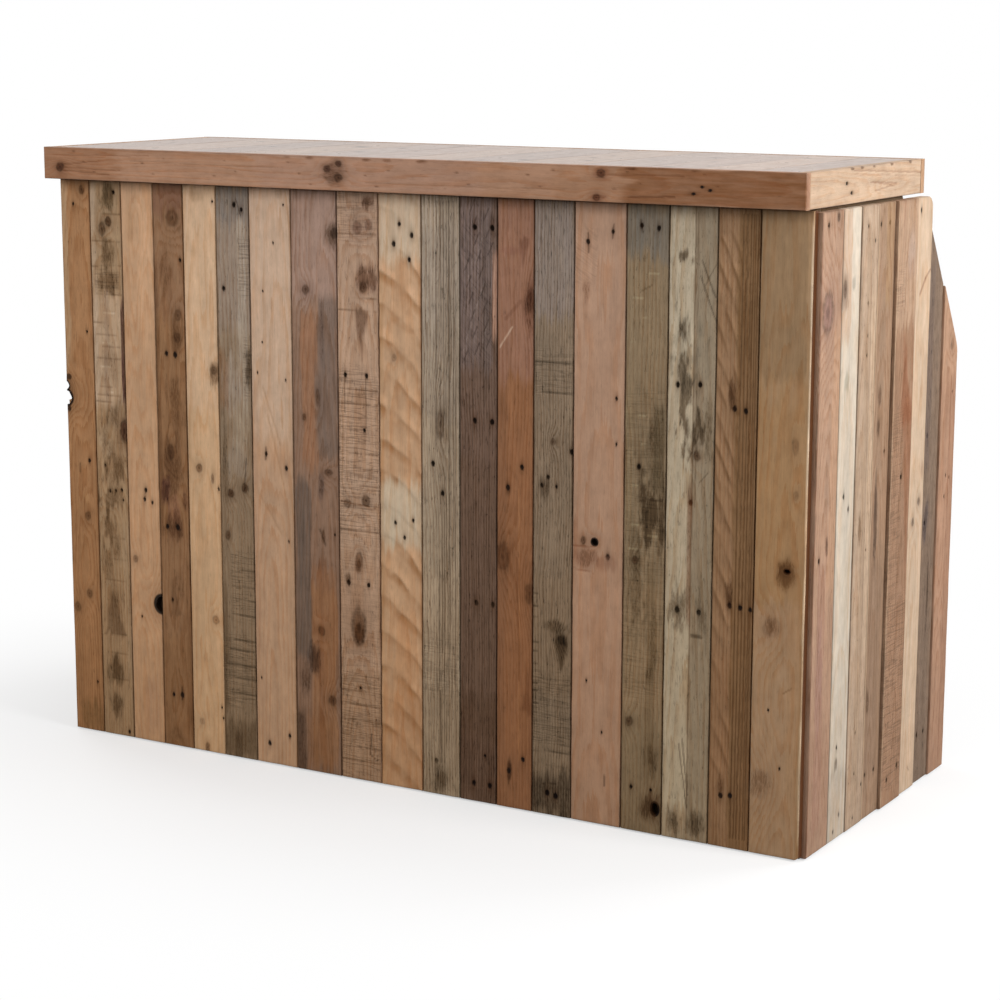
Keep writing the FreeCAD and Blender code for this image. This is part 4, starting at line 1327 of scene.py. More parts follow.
    ), (-70, 60, 20)),
    Plank("96846d", SAWN, (
        Stain(40, 940, 130, 260, "6a5e4c", 0.26, 0.6), Stain(40, 100, 130, 260, "b0a088", 0.26, 0.6),
        Streak(0, 44, 40, 1038, "b4a58d", 0.7, 4), Streak(48, 84, 60, 1038, "7c6e5b", 0.5, 4),
        Line(46, 15, 46, 1038, 2.4, "564636", 0.65), Line(52, 560, 50, 1030, 1.8, "5c4c3c", 0.5),
        Stain(33, 742, 38, 190, "35302a", 0.7, 1.3), Stain(59, 684, 34, 66, "443e36", 0.7, 1.0),
        Stain(40, 800, 60, 120, "6a6152", 0.4, 1.2), Stain(74, 690, 20, 120, "5c5346", 0.5),
        Stain(27, 963, 26, 20, "352f28", 0.7, 1.2), Line(58, 955, 82, 900, 2),
        Line(56, 930, 84, 860, 1.8),
        Line(60, 910, 82, 950, 1.8, "4a4034", 0.5), Nail(18, 756, 6), Nail(58, 759, 6),
        Nail(44, 567, 6.5),
        Streak(39, 47, 355, 590, "66452f", 0.62, 3), Nail(23, 389, 7), Nail(62, 389, 6.5),
        Stain(26, 392, 34, 80, "443e34", 0.55, 1.1),
        Stain(66, 380, 30, 90, "4c453a", 0.45, 1.0), Knot(54, 644, 11, 15, 0.7),
        Line(50, 349, 68, 348, 4),
        Stain(60, 30, 40, 56, "352e25", 0.7), Stain(25, 28, 24, 56, "463c30", 0.6, 0.9),
        Line(30, 165, 45, 58, 1.8), Line(36, 175, 47, 80, 1.8),
        Line(58, 600, 76, 620, 1.8, "443a2e", 0.5),
    ), (40, 50, 30)),
    Plank("7e6145", OILED, (
        Stain(36, 110, 120, 230, "8c6c50", 0.3, 0.5),
        Stain(40, 940, 120, 280, "645038", 0.3, 0.6),
        # chatter with painted shade and a painted highlight on its scoops
        Streak(0, 34, 0, 1038, "94745a", 0.5), Chatter(0, 42, 600, 1005, 48, 1.7, 0.8, "5c432c", 0.5),
        Chatter(0, 38, 120, 600, 54, 1.6, 0.6, "5c422c", 0.42),
        Streak(36, 72, 0, 1038, "5e4630", 0.25, 5),
        *(Line(u, 20, u + d, 1030, 1.8, "3a2717", 0.6) for u, d in (
            (40, 3), (46, 4), (51, 6), (57, 4), (63, 2), (67, 2)
        )),
        Nail(33, 725, 6.5), Nail(53, 723, 6), Nail(31, 407, 6.5), Nail(50, 405, 6), Nail(68, 404, 5),
        Nail(22, 89, 6.5),
        Nail(39, 91, 6), Stain(30, 748, 22, 60, "3a2618", 0.7), Stain(29, 428, 18, 56, "3a2618", 0.65),
        Stain(22, 108, 12, 44, "3a2618", 0.6), Streak(0, 34, 110, 330, "866448", 0.4),
    ), (-30, 34, 30)),
    Plank("927251", PLANED, (
        Stain(42, 800, 160, 420, "7c6044", 0.2, 0.5),
        Stain(33, 381, 32, 36, "6a4420", 0.65, 0.5), Stain(20, 127, 46, 44, "6a4a2c", 0.6, 0.5),
        Hole(57, 474, 11, 8, 0.5, "3c2818"), Stain(55, 468, 40, 56, "4e3014", 0.75, 0.3),
        Knot(33, 381, 25, 28, 0.9, "4c2c12"),
        Stain(33, 381, 40, 48, "62411f", 0.5), Knot(17, 121, 34, 42, 0.85, "3e240f"),
        Stain(20, 116, 50, 44, "54381a", 0.55),
        Knot(66, 674, 10, 24, 0.45), Knot(69, 596, 8, 15, 0.45),
        # pale right arris: worn pale wood with a painted highlight where it catches the light
        Streak(86, 89, 30, 1038, "d2ba9e", 0.8, 1.2), Stain(42, 930, 170, 420, "98826a", 0.32, 0.5),
        Stain(42, 120, 170, 460, "a89078", 0.32, 0.5),
        Streak(0, 80, 780, 1038, "725a40", 0.55, 4), Streak(0, 82, -20, 420, "9f8268", 0.65),
        Streak(62, 84, 60, 700, "a07c5a", 0.3), Line(55, 275, 70, 285, 2, "5a4228", 0.5),
        Nail(52, 150, 3, 0.2), Nail(30, 244, 3, 0.2), Figure(50, 900, 36, 200, 12),
    ), (56, 40, 40)),
)

# Right end from the front edge to the service side: u from each board's front edge.
RIGHT_PLANKS = (
    Plank("b29078", OILED, (
        Streak(0, 84, 20, 200, "9c7a64", 0.5), Knot(62, 1027, 10, 12, 0.7), Nail(24, 1016, 5),
        Knot(28, 881, 40, 56, 0.6, "8c6a66"), Nail(20, 488, 5.5), Stain(48, 506, 14, 40, "6a4c48", 0.7),
        Streak(20, 50, 40, 480, "a27a68", 0.5), Streak(56, 82, 420, 860, "c49c7c", 0.5),
        Streak(0, 3, 0, 1040, "7a4c34", 0.5, 2),
        Stain(30, 300, 30, 200, "94706a", 0.4),
    ), (40, 24, 60)),
    Plank("d0c2b0", PLANED, (
        Streak(0, 36, 826, 1040, "c4a084", 0.7), Knot(10, 911, 14, 24, 0.8),
        Stain(12, 905, 26, 60, "7a6250", 0.5),
        Stain(47, 918, 16, 24, "8c8478", 0.6), Stain(28, 764, 22, 40, "8a8470", 0.55), Nail(28, 577, 5),
        Nail(49, 553, 5),
        Nail(29, 159, 4), Stain(28, 131, 14, 30, "6a5a4c", 0.7), Nail(46, 40, 4.5), Nail(23, 16, 4.5),
        Streak(0, 71, 90, 112, "9a8e80", 0.5, 3), Streak(0, 71, 0, 90, "b5a492", 0.5),
        Stain(50, 420, 24, 160, "bfae98", 0.5),
    ), (36, 60, 20)),
    Plank("bca38c", SAWN, (
        *(Nail(u, z, 3.5, 0.3) for u, z in (
            (26, 1004), (56, 980), (33, 881), (35, 828), (33, 796), (55, 472), (33, 165), (33, 95),
            (32, 18), (65, 68)
        )),
        Stain(25, 512, 18, 56, "6a5644", 0.7), Streak(24, 46, 30, 1000, "a48a70", 0.45),
        Streak(50, 70, 300, 900, "cab094", 0.4),
        Line(48, 60, 46, 980, 1.8, "7c6450", 0.4),
    ), (20, 30, 40)),
    Plank("9f826a", OILED, (
        Nail(9, 1004, 5), Nail(48, 1004, 5), Nail(12, 79, 5), Nail(51, 79, 5), Nail(54, 626, 5),
        Streak(0, 4, 0, 1040, "d0b598", 0.7, 2),
        Streak(36, 68, 878, 1040, "ac8860", 0.45), Stain(24, 724, 18, 40, "5c4638", 0.65),
        Stain(24, 672, 18, 40, "5c4638", 0.65),
        Stain(24, 516, 18, 160, "463a3c", 0.8), Streak(10, 60, 80, 440, "8a705c", 0.5),
        Stain(12, 208, 16, 50, "5a4636", 0.6),
        Streak(44, 72, 480, 860, "b08c70", 0.4),
    ), (30, 30, 60)),
    Plank("a28067", SAWN, (
        Saw(0, 89, 30, 370, 0.9), Saw(0, 50, 370, 690, 0.7),
        Wedge(26, 955, 18, 36, 1036, "8e5a40", 0.55),
        Stain(66, 950, 34, 90, "a49494", 0.55), Saw(0, 40, 850, 930, 0.7),
        Wedge(41, 826, 40, 89, 660, "8e5638", 0.55),
        Wedge(80, 371, 46, 89, 700, "8e5a3e", 0.45), Streak(0, 89, 830, 1040, "cdb096", 0.55),
        Nail(47, 573, 5.5),
        Nail(72, 62, 5), Nail(27, 47, 5), Streak(0, 40, 60, 640, "b08e74", 0.4),
        Streak(0, 4, 0, 1040, "c9a98c", 0.8, 2),
    ), (60, 30, 50)),
    Plank("ccb298", PLANED, (
        Nail(16, 1016, 5), Line(22, 875, 46, 900, 5, "8a6248", 0.6),
        Line(46, 900, 67, 913, 4, "8a6248", 0.55),
        Knot(49, 516, 11, 13, 0.6), Knot(24, 484, 10, 13, 0.6), Stain(61, 566, 14, 40, "a88468", 0.6),
        Line(38, 44, 46, 36, 3),
        Figure(34, 700, 30, 200, 14), Streak(0, 70, 0, 120, "c8ab90", 0.5),
    ), (34, 30, 50)),
    Plank("867262", WEATHERED, (
        Nail(16, 624, 5.5), Nail(17, 470, 5.5), Nail(15, 89, 5), Nail(47, 89, 5),
        Stain(22, 475, 26, 90, "5a5660", 0.65),
        Stain(43, 338, 12, 120, "4a3c36", 0.6), Streak(56, 69, 40, 900, "9a806c", 0.55),
        Streak(0, 30, 560, 930, "6c5f5c", 0.45),
    ), (-40, 50, 20)),
    Plank("af8970", OILED, (
        Knot(44, 772, 14, 16, 0.7),
        *(Nail(u, z, 3.5, 0.3) for u, z in ((55, 688), (36, 542), (53, 535), (31, 504))),
        Line(47, 20, 47, 800, 2, "84604a", 0.5), Streak(47, 73, 20, 720, "a07860", 0.45),
        Streak(0, 73, 720, 960, "c8a284", 0.45),
        Figure(26, 400, 26, 260, 16),
    ), (30, 26, 60)),
)

LEFT_PLANKS = tuple(
    Plank(tone, finish, chance_marks(300 + i, width, 1035, 2), (width * 0.45, 30 + 6 * (i % 3), 45))
    for i, (tone, finish, width) in enumerate((
        ("a4805f", OILED, 84), ("8a735c", WEATHERED, 71), ("b9936d", PLANED, 70), ("7b5a40", OILED, 72),
        ("a98a70", SAWN, 89), ("776755", WEATHERED, 70), ("b39069", PLANED, 69), ("8d6a4b", OILED, 73),
    ))
)

# Lippings: u is down from the top edge, v along from the slab's left end or from its front.
LIPPINGS = {
    "front": (Face.FRONT_EDGE, Plank("99765f", SATIN, (
        Streak(0, 57, -30, 170, "835a3e", 0.6), Streak(0, 57, 1060, 1200, "8a654a", 0.5),
        Streak(0, 57, 1190, 1540, "6c4a31", 0.85), Streak(0, 57, 350, 620, "a5816a", 0.4),
        Streak(0, 57, 480, 920, "9a7a69", 0.5),
        Stain(36, 40, 30, 36, "6a4228", 0.5, 0.5), Knot(35, 37, 14, 16, 0.95, "3c2214"),
        Line(30, 48, 22, 130, 1.6, "5a3a26", 0.55), Line(36, 50, 38, 175, 1.6, "5a3a26", 0.5),
        Line(41, 48, 46, 150, 1.6, "5a3a26", 0.55), Line(14, 20, 10, 240, 1.5, "6a4630", 0.45),
        Stain(28, 632, 44, 64, "5c4438", 0.5, 0.6), Knot(21, 621, 11, 13, 0.95, "35201a"),
        Knot(11, 644, 9, 11, 0.95, "35201a"), Knot(35, 644, 12, 15, 0.95, "3a2618"),
        Stain(40, 628, 20, 30, "3e302a", 0.5),
        Stain(12, 1146, 22, 34, "6a4030", 0.5, 0.5), Knot(11, 1145, 11, 14, 0.9, "4a2a1c"),
        Stain(50, 1138, 18, 30, "6a4030", 0.5, 0.5), Knot(50, 1137, 10, 12, 0.9, "4a2a1c"),
        Line(13, 1158, 11, 1290, 2, "5e3c28", 0.6), Line(47, 1195, 44, 1275, 2.2, "4a2c1c", 0.65),
        *(Stain(6 + k * 17 % 45, 70 + k * 157 % 1390, 3.5, 9, "4a2e1e", 0.55, 0.4) for k in range(26)),
        Nail(38, 1307, 4), Nail(27, 1322, 4), Nail(32, 1336, 4),
        *(Stain(3, x, 6, 22, "5e3d2a", 0.6) for x in (540, 585, 700, 742, 810, 1200, 1310)),
        Figure(30, 900, 34, 300, 12), Figure(26, 360, 30, 260, 12),
        Line(20, 200, 22, 520, 1.6, "74543c", 0.4), Line(42, 700, 40, 1080, 1.6, "74543c", 0.4),
    ), (18, 22, 30))),
    "right": (Face.RIGHT_EDGE, Plank("c8ab90", SATIN, (
        Figure(36, 330, 20, 150, 18), Line(27, 250, 34, 352, 1.8, "8a6244", 0.5),
        Line(42, 258, 36, 352, 1.8, "8a6244", 0.5),
        Line(27, 240, 36, 330, 1.8, "946c4e", 0.6), Line(5, 170, 22, 459, 2, "946c4e", 0.6),
        Line(10, 150, 28, 459, 1.4, "b08a6c", 0.4),
        Nail(40, 163, 4.5), Nail(24, 143, 5),
        *(Stain(2, x, 6, 14, "6a4a34", 0.75) for x in (163, 203, 253, 328, 410)),
    ), (36, 20, 60))),
    "back": (Face.BACK_EDGE, Plank("ab8768", SATIN, chance_marks(41, 57, 1496), (20, 24, 30))),
    "left": (Face.LEFT_EDGE, Plank("b48e6e", SATIN, chance_marks(42, 57, 459), (24, 22, 40))),
}
TOP_TONES = ("a2897a", "ab907d", "9a8375", "a58a76", "9e8779")


@dataclass
class PlankFront:
    """The customers' side: nineteen upright boards of mixed widths and woods."""

    planks: tuple[Plank, ...]
    slot: str = "front_cladding"
    # painted light on the front: paler and cooler at the top, darker and warmer at the foot
    painted_top_light: tuple[float, float, float] = (0.09, 0.13, 0.19)
    close_mm: float = 0.4
    # dark colour painted on the last board's right side wall as its shade
    flank: str = "4e2f1b"
    worn_foot: tuple[float, float, float, float] = (79.0, 13.0, 11.0, 270)

    def build(self) -> None:
        """Makes each board in the place of its solid; the last one has a worn foot and a right side wall
        painted dark as its shade.
        """
        for number, plank in enumerate(self.planks, 1):
            node = f"front_plank_{number:02d}"
            last = number == len(self.planks)
            corners = (self.worn_foot,) if last else ()
            inner = 1 < number < len(self.planks)
            more = {"corners": corners, "painted_top_light": self.painted_top_light, "close_mm": self.close_mm * inner}
            more["flank"] = self.flank if last else ""
            board = plank.board(node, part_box(node), Face.FRONT, **more)
            place(f"Front_board_{number:02d}", board.mesh(), node)


@dataclass
class PlankEnd:
    """One end of the counter: eight upright boards, raked at the service side."""

    side: str
    face: Face
    planks: tuple[Plank, ...]
    slot: str = "end_cladding"
    rake_top: tuple[float, float] = (0.187, 0.9884)
    rake_foot: tuple[float, float] = (0.330, 0.7644)
    crown_board: int = 6
    crown_mm: float = 24
    heel_mm: float = 60
    close_mm: float = 0.4

    def build(self) -> None:
        """Makes each board, with the rake, the eased crown and the rounded heel cut on it."""
        run = self.rake_foot[0] - self.rake_top[0]
        drop = self.rake_top[1] - self.rake_foot[1]
        slope = Vector((0, drop, run)).normalized()
        for number, plank in enumerate(self.planks, 1):
            node = f"{self.side}_end_plank_{number}"
            low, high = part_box(node)
            width, top = (high.y - low.y) / MM, high.z / MM
            cuts, corners = (), ()
            if number == self.crown_board:
                u = width - self.crown_mm if self.face is Face.RIGHT else self.crown_mm
                corners = ((u, top - self.crown_mm, self.crown_mm, 0 if self.face is Face.RIGHT else 90),)
            if number > self.crown_board:
                cuts = ((Vector((0, *self.rake_top)), slope),)
            if number == len(self.planks):
                cuts += self.heel()
            bites = (BASHED_CORNER,) if node == "left_end_plank_1" else ()
            inner = 1 < number < len(self.planks)
            more = {"cuts": cuts, "corners": corners, "bites": bites, "close_mm": self.close_mm * inner}
            board = plank.board(node, (low, high), self.face, **more)
            place(f"{self.side.capitalize()}_end_board_{number}", board.mesh(), node)

    def heel(self) -> tuple[tuple[Vector, Vector], ...]:
        """Planes that round the corner where the rake meets the back edge.

        Returns:
            A point and an outward direction for each plane.
        """
        run = self.rake_foot[0] - self.rake_top[0]
        drop = self.rake_top[1] - self.rake_foot[1]
        lean = math.atan2(run, drop)
        back = self.heel_mm * math.tan(lean / 2) * MM
        y = self.rake_foot[0] - self.heel_mm * MM
        z = self.rake_foot[1] - back
        planes = []
        for step in range(1, 5):
            angle = lean * step / 5
            out = Vector((0, math.cos(angle), math.sin(angle)))
            planes.append((Vector((0, y, z)) + out * self.heel_mm * MM, out))
        return tuple(planes)


@dataclass
class CounterTop:
    """The lipped top: boards laid front to back between four lippings."""

    lippings: dict[str, tuple[Face, Plank]]
    board_tones: tuple[str, ...]
    slot: str = "top_lipping"

    def build(self) -> None:
        """Makes the lippings and the boards between them."""
        for side, (face, plank) in self.lippings.items():
            node = f"top_{side}_lipping"
            board = plank.board(node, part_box(node), face, edge_mm=1.6, wander_mm=0.25)
            place(f"Top_{side}_lipping", board.mesh(), node)
        meshes = []
        for number, box in enumerate(solids("top_boards")):
            tone = self.board_tones[number % len(self.board_tones)]
            name = f"top_board_{number + 1}"
            width, length = (box[1].x - box[0].x) / MM, (box[1].y - box[0].y) / MM
            marks = tuple(m for m in chance_marks(700 + number, width, length) if isinstance(m, Knot))
            pith = (width * 0.4, 35, 25)
            board = Board(name, box, Face.TOP, LACQUER, tone, marks, pith, 0.9, 0.2, (3.0, 4.0))
            meshes.append(board.mesh())
        place("Top_boards", joined(meshes, "Top_boards", LACQUER), "top_boards")


@dataclass
class Shelf:
    """The work shelf: five boards that run the length of the counter."""

    tones: tuple[str, ...] = ("b08a62", "a87f58", "b8956c", "ab855e", "b48e66")

    def build(self) -> None:
        """Makes the shelf boards as one piece."""
        meshes = []
        for number, box in enumerate(solids("shelf_boards")):
            width, length = (box[1].y - box[0].y) / MM, (box[1].x - box[0].x) / MM
            marks = chance_marks(900 + number, width, length)
            name = f"shelf_board_{number + 1}"
            tone, pith = self.tones[number], (width / 2, 45, 30)
            board = Board(name, box, Face.SHELF, OILED, tone, marks, pith, 1.4, 0.3, (4.5, 7.0))
            meshes.append(board.mesh())
        place("Shelf_boards", joined(meshes, "Shelf_boards", OILED), "shelf_boards")


@dataclass
class TimberFrame:
    """The hidden frame: sawn rails, posts and battens with eased arrises."""

    tones: tuple[str, ...] = ("c09a6c", "b8905f", "c8a678", "bb9568")
    ease_mm: float = 1.1
    cell_mm: tuple[float, float] = (9, 16)
    slot: str = "frame_timber"
    # painted shade on the frame faces that the cladding hides, so its gaps read dark
    gap_shade: str = "2a2019"

    def nodes(self) -> list[str]:
        """The timbers' names, from the record's material slots."""
        parts = frame["record"]["subparts"]
        return [p["node"] for p in parts if p["material_slot"] == self.slot]

    def build(self) -> None:
        """Makes an eased copy of each timber, cut into cells that can carry its grain."""
        for number, node in enumerate(self.nodes()):
            mesh = self.timber(node, self.tones[number % len(self.tones)])
            place(node.capitalize(), mesh, node)

    def timber(self, node: str, tone: str) -> bpy.types.Mesh:
        """One timber with rounded arrises, growth rings through its depth, knots and saw lines.

        Args:
            node: the solid that it copies.
            tone: its colour.

        Returns:
            The mesh, in the counter's frame.
        """
        bm = bmesh.new()
        bm.from_mesh(frame["nodes"][node].data)
        bmesh.ops.remove_doubles(bm, verts=bm.verts, dist=1e-6)
        bmesh.ops.dissolve_limit(bm, angle_limit=math.radians(1), verts=bm.verts, edges=bm.edges)
        bmesh.ops.recalc_face_normals(bm, faces=bm.faces)
        if node == "left_corner_post":
            bm = self.bashed(bm)
        sharp = [e for e in bm.edges if e.is_manifold and e.calc_face_angle(0) > math.radians(25)]
        bmesh.ops.bevel(
            bm, geom=sharp, offset=self.ease_mm * MM, offset_type="OFFSET", segments=2, profile=0.5,
            affect="EDGES", clamp_overlap=True, material=-1,
        )
        low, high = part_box(node)
        size = [(b - a) / MM for a, b in zip(low, high)]
        long = size.index(max(size))
        for axis in range(3):
            cell = self.cell_mm[1] if axis == long else self.cell_mm[0]
            for step in range(1, max(1, round(size[axis] / cell))):
                point = Vector(low)
                point[axis] += step * size[axis] / round(size[axis] / cell) * MM
                normal = Vector([1.0 if i == axis else 0.0 for i in range(3)])
                geom = bm.verts[:] + bm.edges[:] + bm.faces[:]
                bmesh.ops.bisect_plane(bm, geom=geom, dist=1e-6, plane_co=point, plane_no=normal)
        mesh = bpy.data.meshes.new(node)
        bm.to_mesh(mesh)
        bm.free()
        co = np.empty(len(mesh.vertices) * 3)
        mesh.vertices.foreach_get("co", co)
        co = (co.reshape(-1, 3) - np.array(low)) / MM
        seed = zlib.crc32(node.encode()) % 60000
        one, two = [i for i in range(3) if i != long]
        u, v, w = co[:, one], co[:, long], co[:, two]
        draw = np.random.default_rng(seed)
        ring = np.hypot(u - size[one] * draw.uniform(-0.3, 1.3), w + draw.uniform(10, 40) + v * 0.012)
        n = len(co)
        tint = np.tile(linear(tone), (n, 1))
        clear = np.zeros(n)
        sink, saw, soil = clear.copy(), clear + 0.55, clear.copy()
        s = Surface(u + 0.37 * w, v, w * 0, clear + 1, seed, tint, ring, sink, saw, v.copy(), soil)
        s.shade(0.16 * s.rough(22, 260, 1))
        # painted shade on the faces behind the cladding
        s.stain(self.behind(co * MM + np.array(low)) * 0.9, self.gap_shade)
        for _ in range(3):
            across, along = draw.uniform(0.2, 0.9) * size[one], draw.uniform(0.05, 0.95) * size[long]
            Knot(across, along, 22, 30, 0.5).mark(s)
        grain = np.stack([s.ring, v + 3 * seed, s.u + 0.6 * w], 1)
        paint(mesh, s.tint, grain, np.stack([s.saw, v + 0.15 * u + seed, s.soil], 1))
        finish_mesh(mesh, RAW)
        return mesh

    def behind(self, co: np.ndarray) -> np.ndarray:
        """1 on faces that the cladding covers, which get painted shade so that its gaps read dark.

        Args:
            co: points in the counter's frame, in metres.

        Returns:
            1 or 0 for each point.
        """
        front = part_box("front_plank_01")[1].y + 0.001
        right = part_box("right_end_plank_1")[0].x - 0.001
        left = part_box("left_end_plank_1")[1].x + 0.001
        return ((co[:, 1] < front) | (co[:, 0] > right) | (co[:, 0] < left)).astype(float)

    def bashed(self, bm: bmesh.types.BMesh) -> bmesh.types.BMesh:
        """Carries the broken-out bite of the front's left edge into the post behind it.

        Args:
            bm: the post, in the counter's frame.

        Returns:
            The post with the bite cut.
        """
        solid = bpy.data.meshes.new("post")
        bm.to_mesh(solid)
        bm.clear()
        point, radius, reach = BASHED_CORNER
        tool = bmesh.new()
        chip(tool, radius, reach)
        turn = Matrix.Rotation(math.radians(90), 3, "X")
        bmesh.ops.rotate(tool, verts=tool.verts, cent=(0, 0, 0), matrix=turn)
        bmesh.ops.translate(tool, verts=tool.verts, vec=point)
        bm.from_mesh(carve(solid, tool))
        return bm


@dataclass(frozen=True)
class ZincFinish:
    """Bright zinc plate on steel: a cool grey metal, slightly mottled and scuffed."""

    name: str = "Zinc_plated_steel"
    pale: str = "c9ccd0"
    dull: str = "9a9ea3"

    def material(self) -> bpy.types.Material:
        """Builds the node material.

        Returns:
            The finish's material.
        """
        made = bpy.data.materials.new(self.name)
        made.use_nodes = True
        t = made.node_tree
        t.nodes.clear()
        where = add(t, "ShaderNodeTexCoord").outputs["Object"]
        # crystal mottle of the plating, about 3 mm across
        cloud = add(t, "ShaderNodeTexNoise", {"Vector": where, "Scale": 330.0, "Detail": 4.0})
        setup = {0: cloud, 6: (*linear(self.dull), 1), 7: (*linear(self.pale), 1)}
        colour = add(t, "ShaderNodeMix", setup, data_type="RGBA").outputs[2]
        rough = add(t, "ShaderNodeMapRange", {0: cloud, 3: 0.26, 4: 0.46})
        bump = add(t, "ShaderNodeBump", {"Height": cloud, "Distance": 0.00005, "Strength": 0.4})
        setup = {"Base Color": colour, "Metallic": 1.0, "Roughness": rough, "Normal": bump}
        shader = add(t, "ShaderNodeBsdfPrincipled", setup)
        add(t, "ShaderNodeOutputMaterial", {0: shader})
        return made


@dataclass
class FrameFixings:
    """Bolts and flanged nuts through the half-laps: the solids themselves, plated."""

    nodes: tuple[str, str] = ("frame_bolts", "frame_nuts")

    def dress(self) -> None:
        """Gives both nodes the zinc plate."""
        zinc = ZincFinish().material()
        for node in self.nodes:
            mesh = frame["nodes"][node].data
            mesh.materials.clear()
            mesh.materials.append(zinc)
            LOG.info("%s: plated", node)


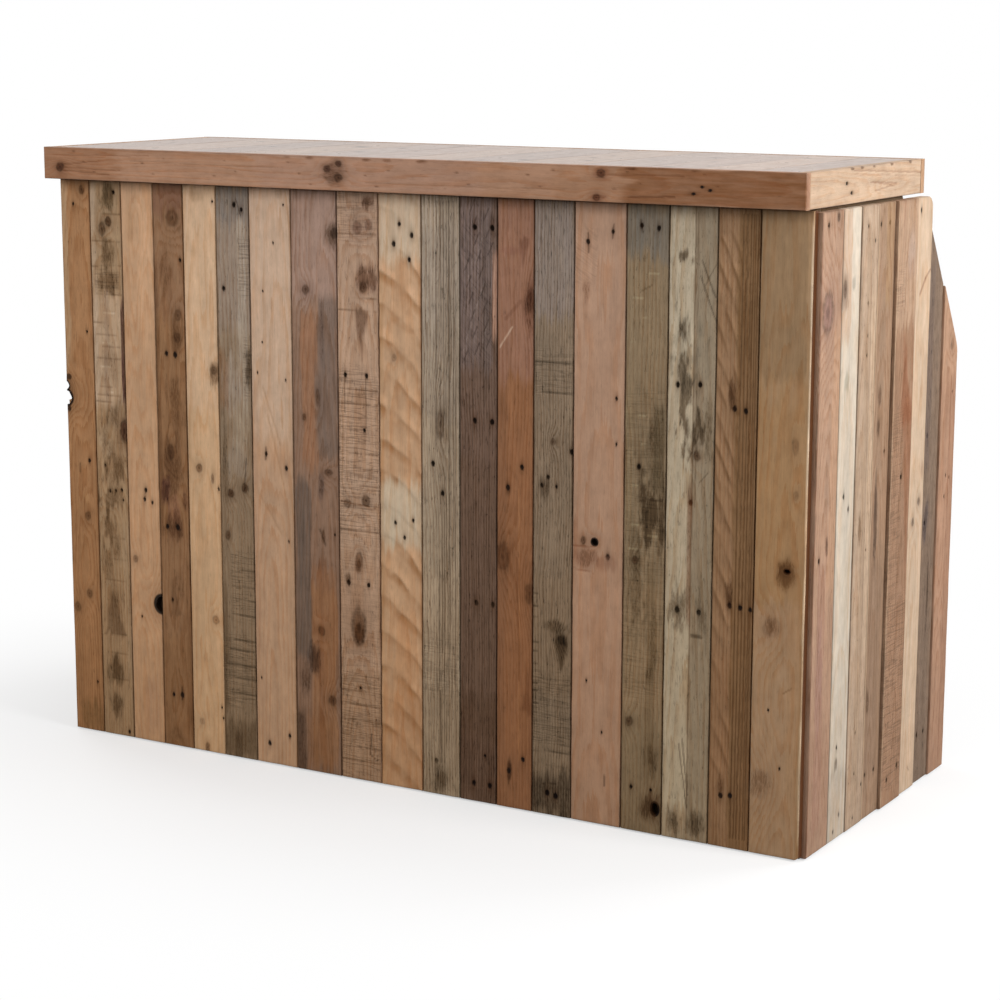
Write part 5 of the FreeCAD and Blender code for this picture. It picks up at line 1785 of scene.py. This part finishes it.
@dataclass
class Studio:
    """Camera, soft light and a white floor."""

    eye: tuple[float, float, float] = (2.2476, -3.7706, 1.3169)
    yaw: float = -0.5339
    pitch: float = 0.1907
    roll: float = 0.0023
    lens_mm: float = 88.463
    sky: float = 0.36
    floor_bounce: str = "4a4640"

    def camera(self) -> None:
        """Stands the camera where the photograph was taken."""
        ahead = Vector((
            math.sin(self.yaw) * math.cos(self.pitch),
            math.cos(self.yaw) * math.cos(self.pitch),
            -math.sin(self.pitch),
        ))
        right = Vector((math.cos(self.yaw), -math.sin(self.yaw), 0))
        up = right.cross(ahead)
        side = right * math.cos(self.roll) + up * math.sin(self.roll)
        rise = up * math.cos(self.roll) - right * math.sin(self.roll)
        data = bpy.data.cameras.new("Camera")
        data.lens = self.lens_mm
        data.sensor_width = 36
        camera = bpy.data.objects.new("Camera", data)
        turn = Matrix((side, rise, -ahead)).transposed().to_4x4()
        camera.matrix_world = Matrix.Translation(self.eye) @ turn
        bpy.context.scene.collection.objects.link(camera)
        bpy.context.scene.camera = camera

    def lamp(self, name: str, at: tuple, aim: tuple, size: tuple[float, float], watts: float,
             mirrored: bool = False) -> None:
        """Hangs one soft box.

        Args:
            name: the lamp's name.
            at: where it hangs, in metres.
            aim: the point that it faces.
            size: its width and height in metres.
            watts: its power.
            mirrored: whether glossy surfaces show it.
        """
        data = bpy.data.lights.new(name, "AREA")
        data.shape = "RECTANGLE"
        data.size, data.size_y = size
        data.energy = watts
        lamp = bpy.data.objects.new(name, data)
        lamp.location = at
        lamp.rotation_euler = (Vector(aim) - Vector(at)).to_track_quat("-Z", "Y").to_euler()
        lamp.visible_glossy = mirrored
        bpy.context.scene.collection.objects.link(lamp)

    def light(self) -> None:
        """Big soft boxes to the right, over the front and behind, a weak one at the left, an even sky."""
        self.lamp("Right_softbox", (3.3, -0.5, 2.1), (0.75, 0.0, 0.75), (1.8, 1.8), 98)
        self.lamp("Front_softbox", (-0.5, -3.4, 2.0), (0.0, -0.3, 0.6), (2.6, 1.8), 63)
        self.lamp("Rear_softbox", (2.2, 3.0, 2.3), (0.0, 0.1, 0.6), (2.4, 1.8), 70, True)
        self.lamp("Left_softbox", (-3.2, 1.3, 1.8), (-0.75, 0.05, 0.6), (1.8, 1.8), 34)
        world = bpy.data.worlds.new("Sky")
        world.use_nodes = True
        bpy.context.scene.world = world
        t = world.node_tree
        t.nodes.clear()
        seen = self.seen(t)
        level = add(t, "ShaderNodeMapRange", {0: seen, 3: self.sky, 4: 1.0})
        sky = add(t, "ShaderNodeBackground", {"Color": (1, 1, 1, 1), "Strength": level})
        add(t, "ShaderNodeOutputWorld", {0: sky})

    def seen(self, t: bpy.types.NodeTree) -> bpy.types.Node:
        """A node that is 1 for rays that show the background and 0 for rays that light the object.

        Args:
            t: the node tree that gets the node.

        Returns:
            The node.
        """
        path = add(t, "ShaderNodeLightPath")
        both = add(
            t, "ShaderNodeMath",
            {0: path.outputs["Is Camera Ray"], 1: path.outputs["Is Glossy Ray"]}, operation="MAXIMUM",
        )
        setup = {0: both, 1: path.outputs["Is Transmission Ray"]}
        return add(t, "ShaderNodeMath", setup, operation="MAXIMUM")

    def floor(self) -> None:
        """A white sheet that keeps the counter's shadow and fades into the white background."""
        bm = bmesh.new()
        bmesh.ops.create_grid(bm, x_segments=8, y_segments=8, size=30)
        bmesh.ops.translate(bm, verts=bm.verts, vec=(0, 0, -0.0005))
        mesh = bpy.data.meshes.new("Floor")
        bm.to_mesh(mesh)
        bm.free()
        made = bpy.data.materials.new("White_paper_matt")
        made.use_nodes = True
        t = made.node_tree
        t.nodes.clear()
        where = add(t, "ShaderNodeTexCoord").outputs["Object"]
        flat = add(t, "ShaderNodeVectorMath", {0: where, 1: (0.75, 1.0, 0.0)}, operation="MULTIPLY")
        far = add(t, "ShaderNodeVectorMath", {0: flat}, operation="LENGTH")
        # the white glow takes 0.45 of the paper under the counter and all of it 1.25 m from its middle
        setup = {0: far.outputs["Value"], 1: 0.45, 2: 1.25, 3: 0.45}
        fade = add(t, "ShaderNodeMapRange", setup, interpolation_type="SMOOTHSTEP")
        paper = add(t, "ShaderNodeBsdfDiffuse", {"Color": (0.9, 0.9, 0.9, 1)})
        glow = add(t, "ShaderNodeEmission", {"Color": (1, 1, 1, 1), "Strength": 1.0})
        shown = add(t, "ShaderNodeMixShader", {0: fade, 1: paper, 2: glow})
        bounce = add(t, "ShaderNodeBsdfDiffuse", {"Color": (*linear(self.floor_bounce), 1)})
        both = add(t, "ShaderNodeMixShader", {0: self.seen(t), 1: bounce, 2: shown})
        add(t, "ShaderNodeOutputMaterial", {0: both})
        mesh.materials.append(made)
        floor = bpy.data.objects.new("Floor", mesh)
        bpy.context.scene.collection.objects.link(floor)


def main() -> None:
    """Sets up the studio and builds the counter's pieces in order."""
    logging.basicConfig(level=logging.INFO, format="%(message)s")
    bpy.context.scene.view_settings.view_transform = "Standard"
    studio = Studio()
    studio.camera()
    studio.light()
    studio.floor()
    PlankFront(FRONT_PLANKS).build()
    PlankEnd("right", Face.RIGHT, RIGHT_PLANKS).build()
    PlankEnd("left", Face.LEFT, LEFT_PLANKS).build()
    CounterTop(LIPPINGS, TOP_TONES).build()
    Shelf().build()
    TimberFrame().build()
    FrameFixings().dress()


if __name__ == "__main__":
    main()
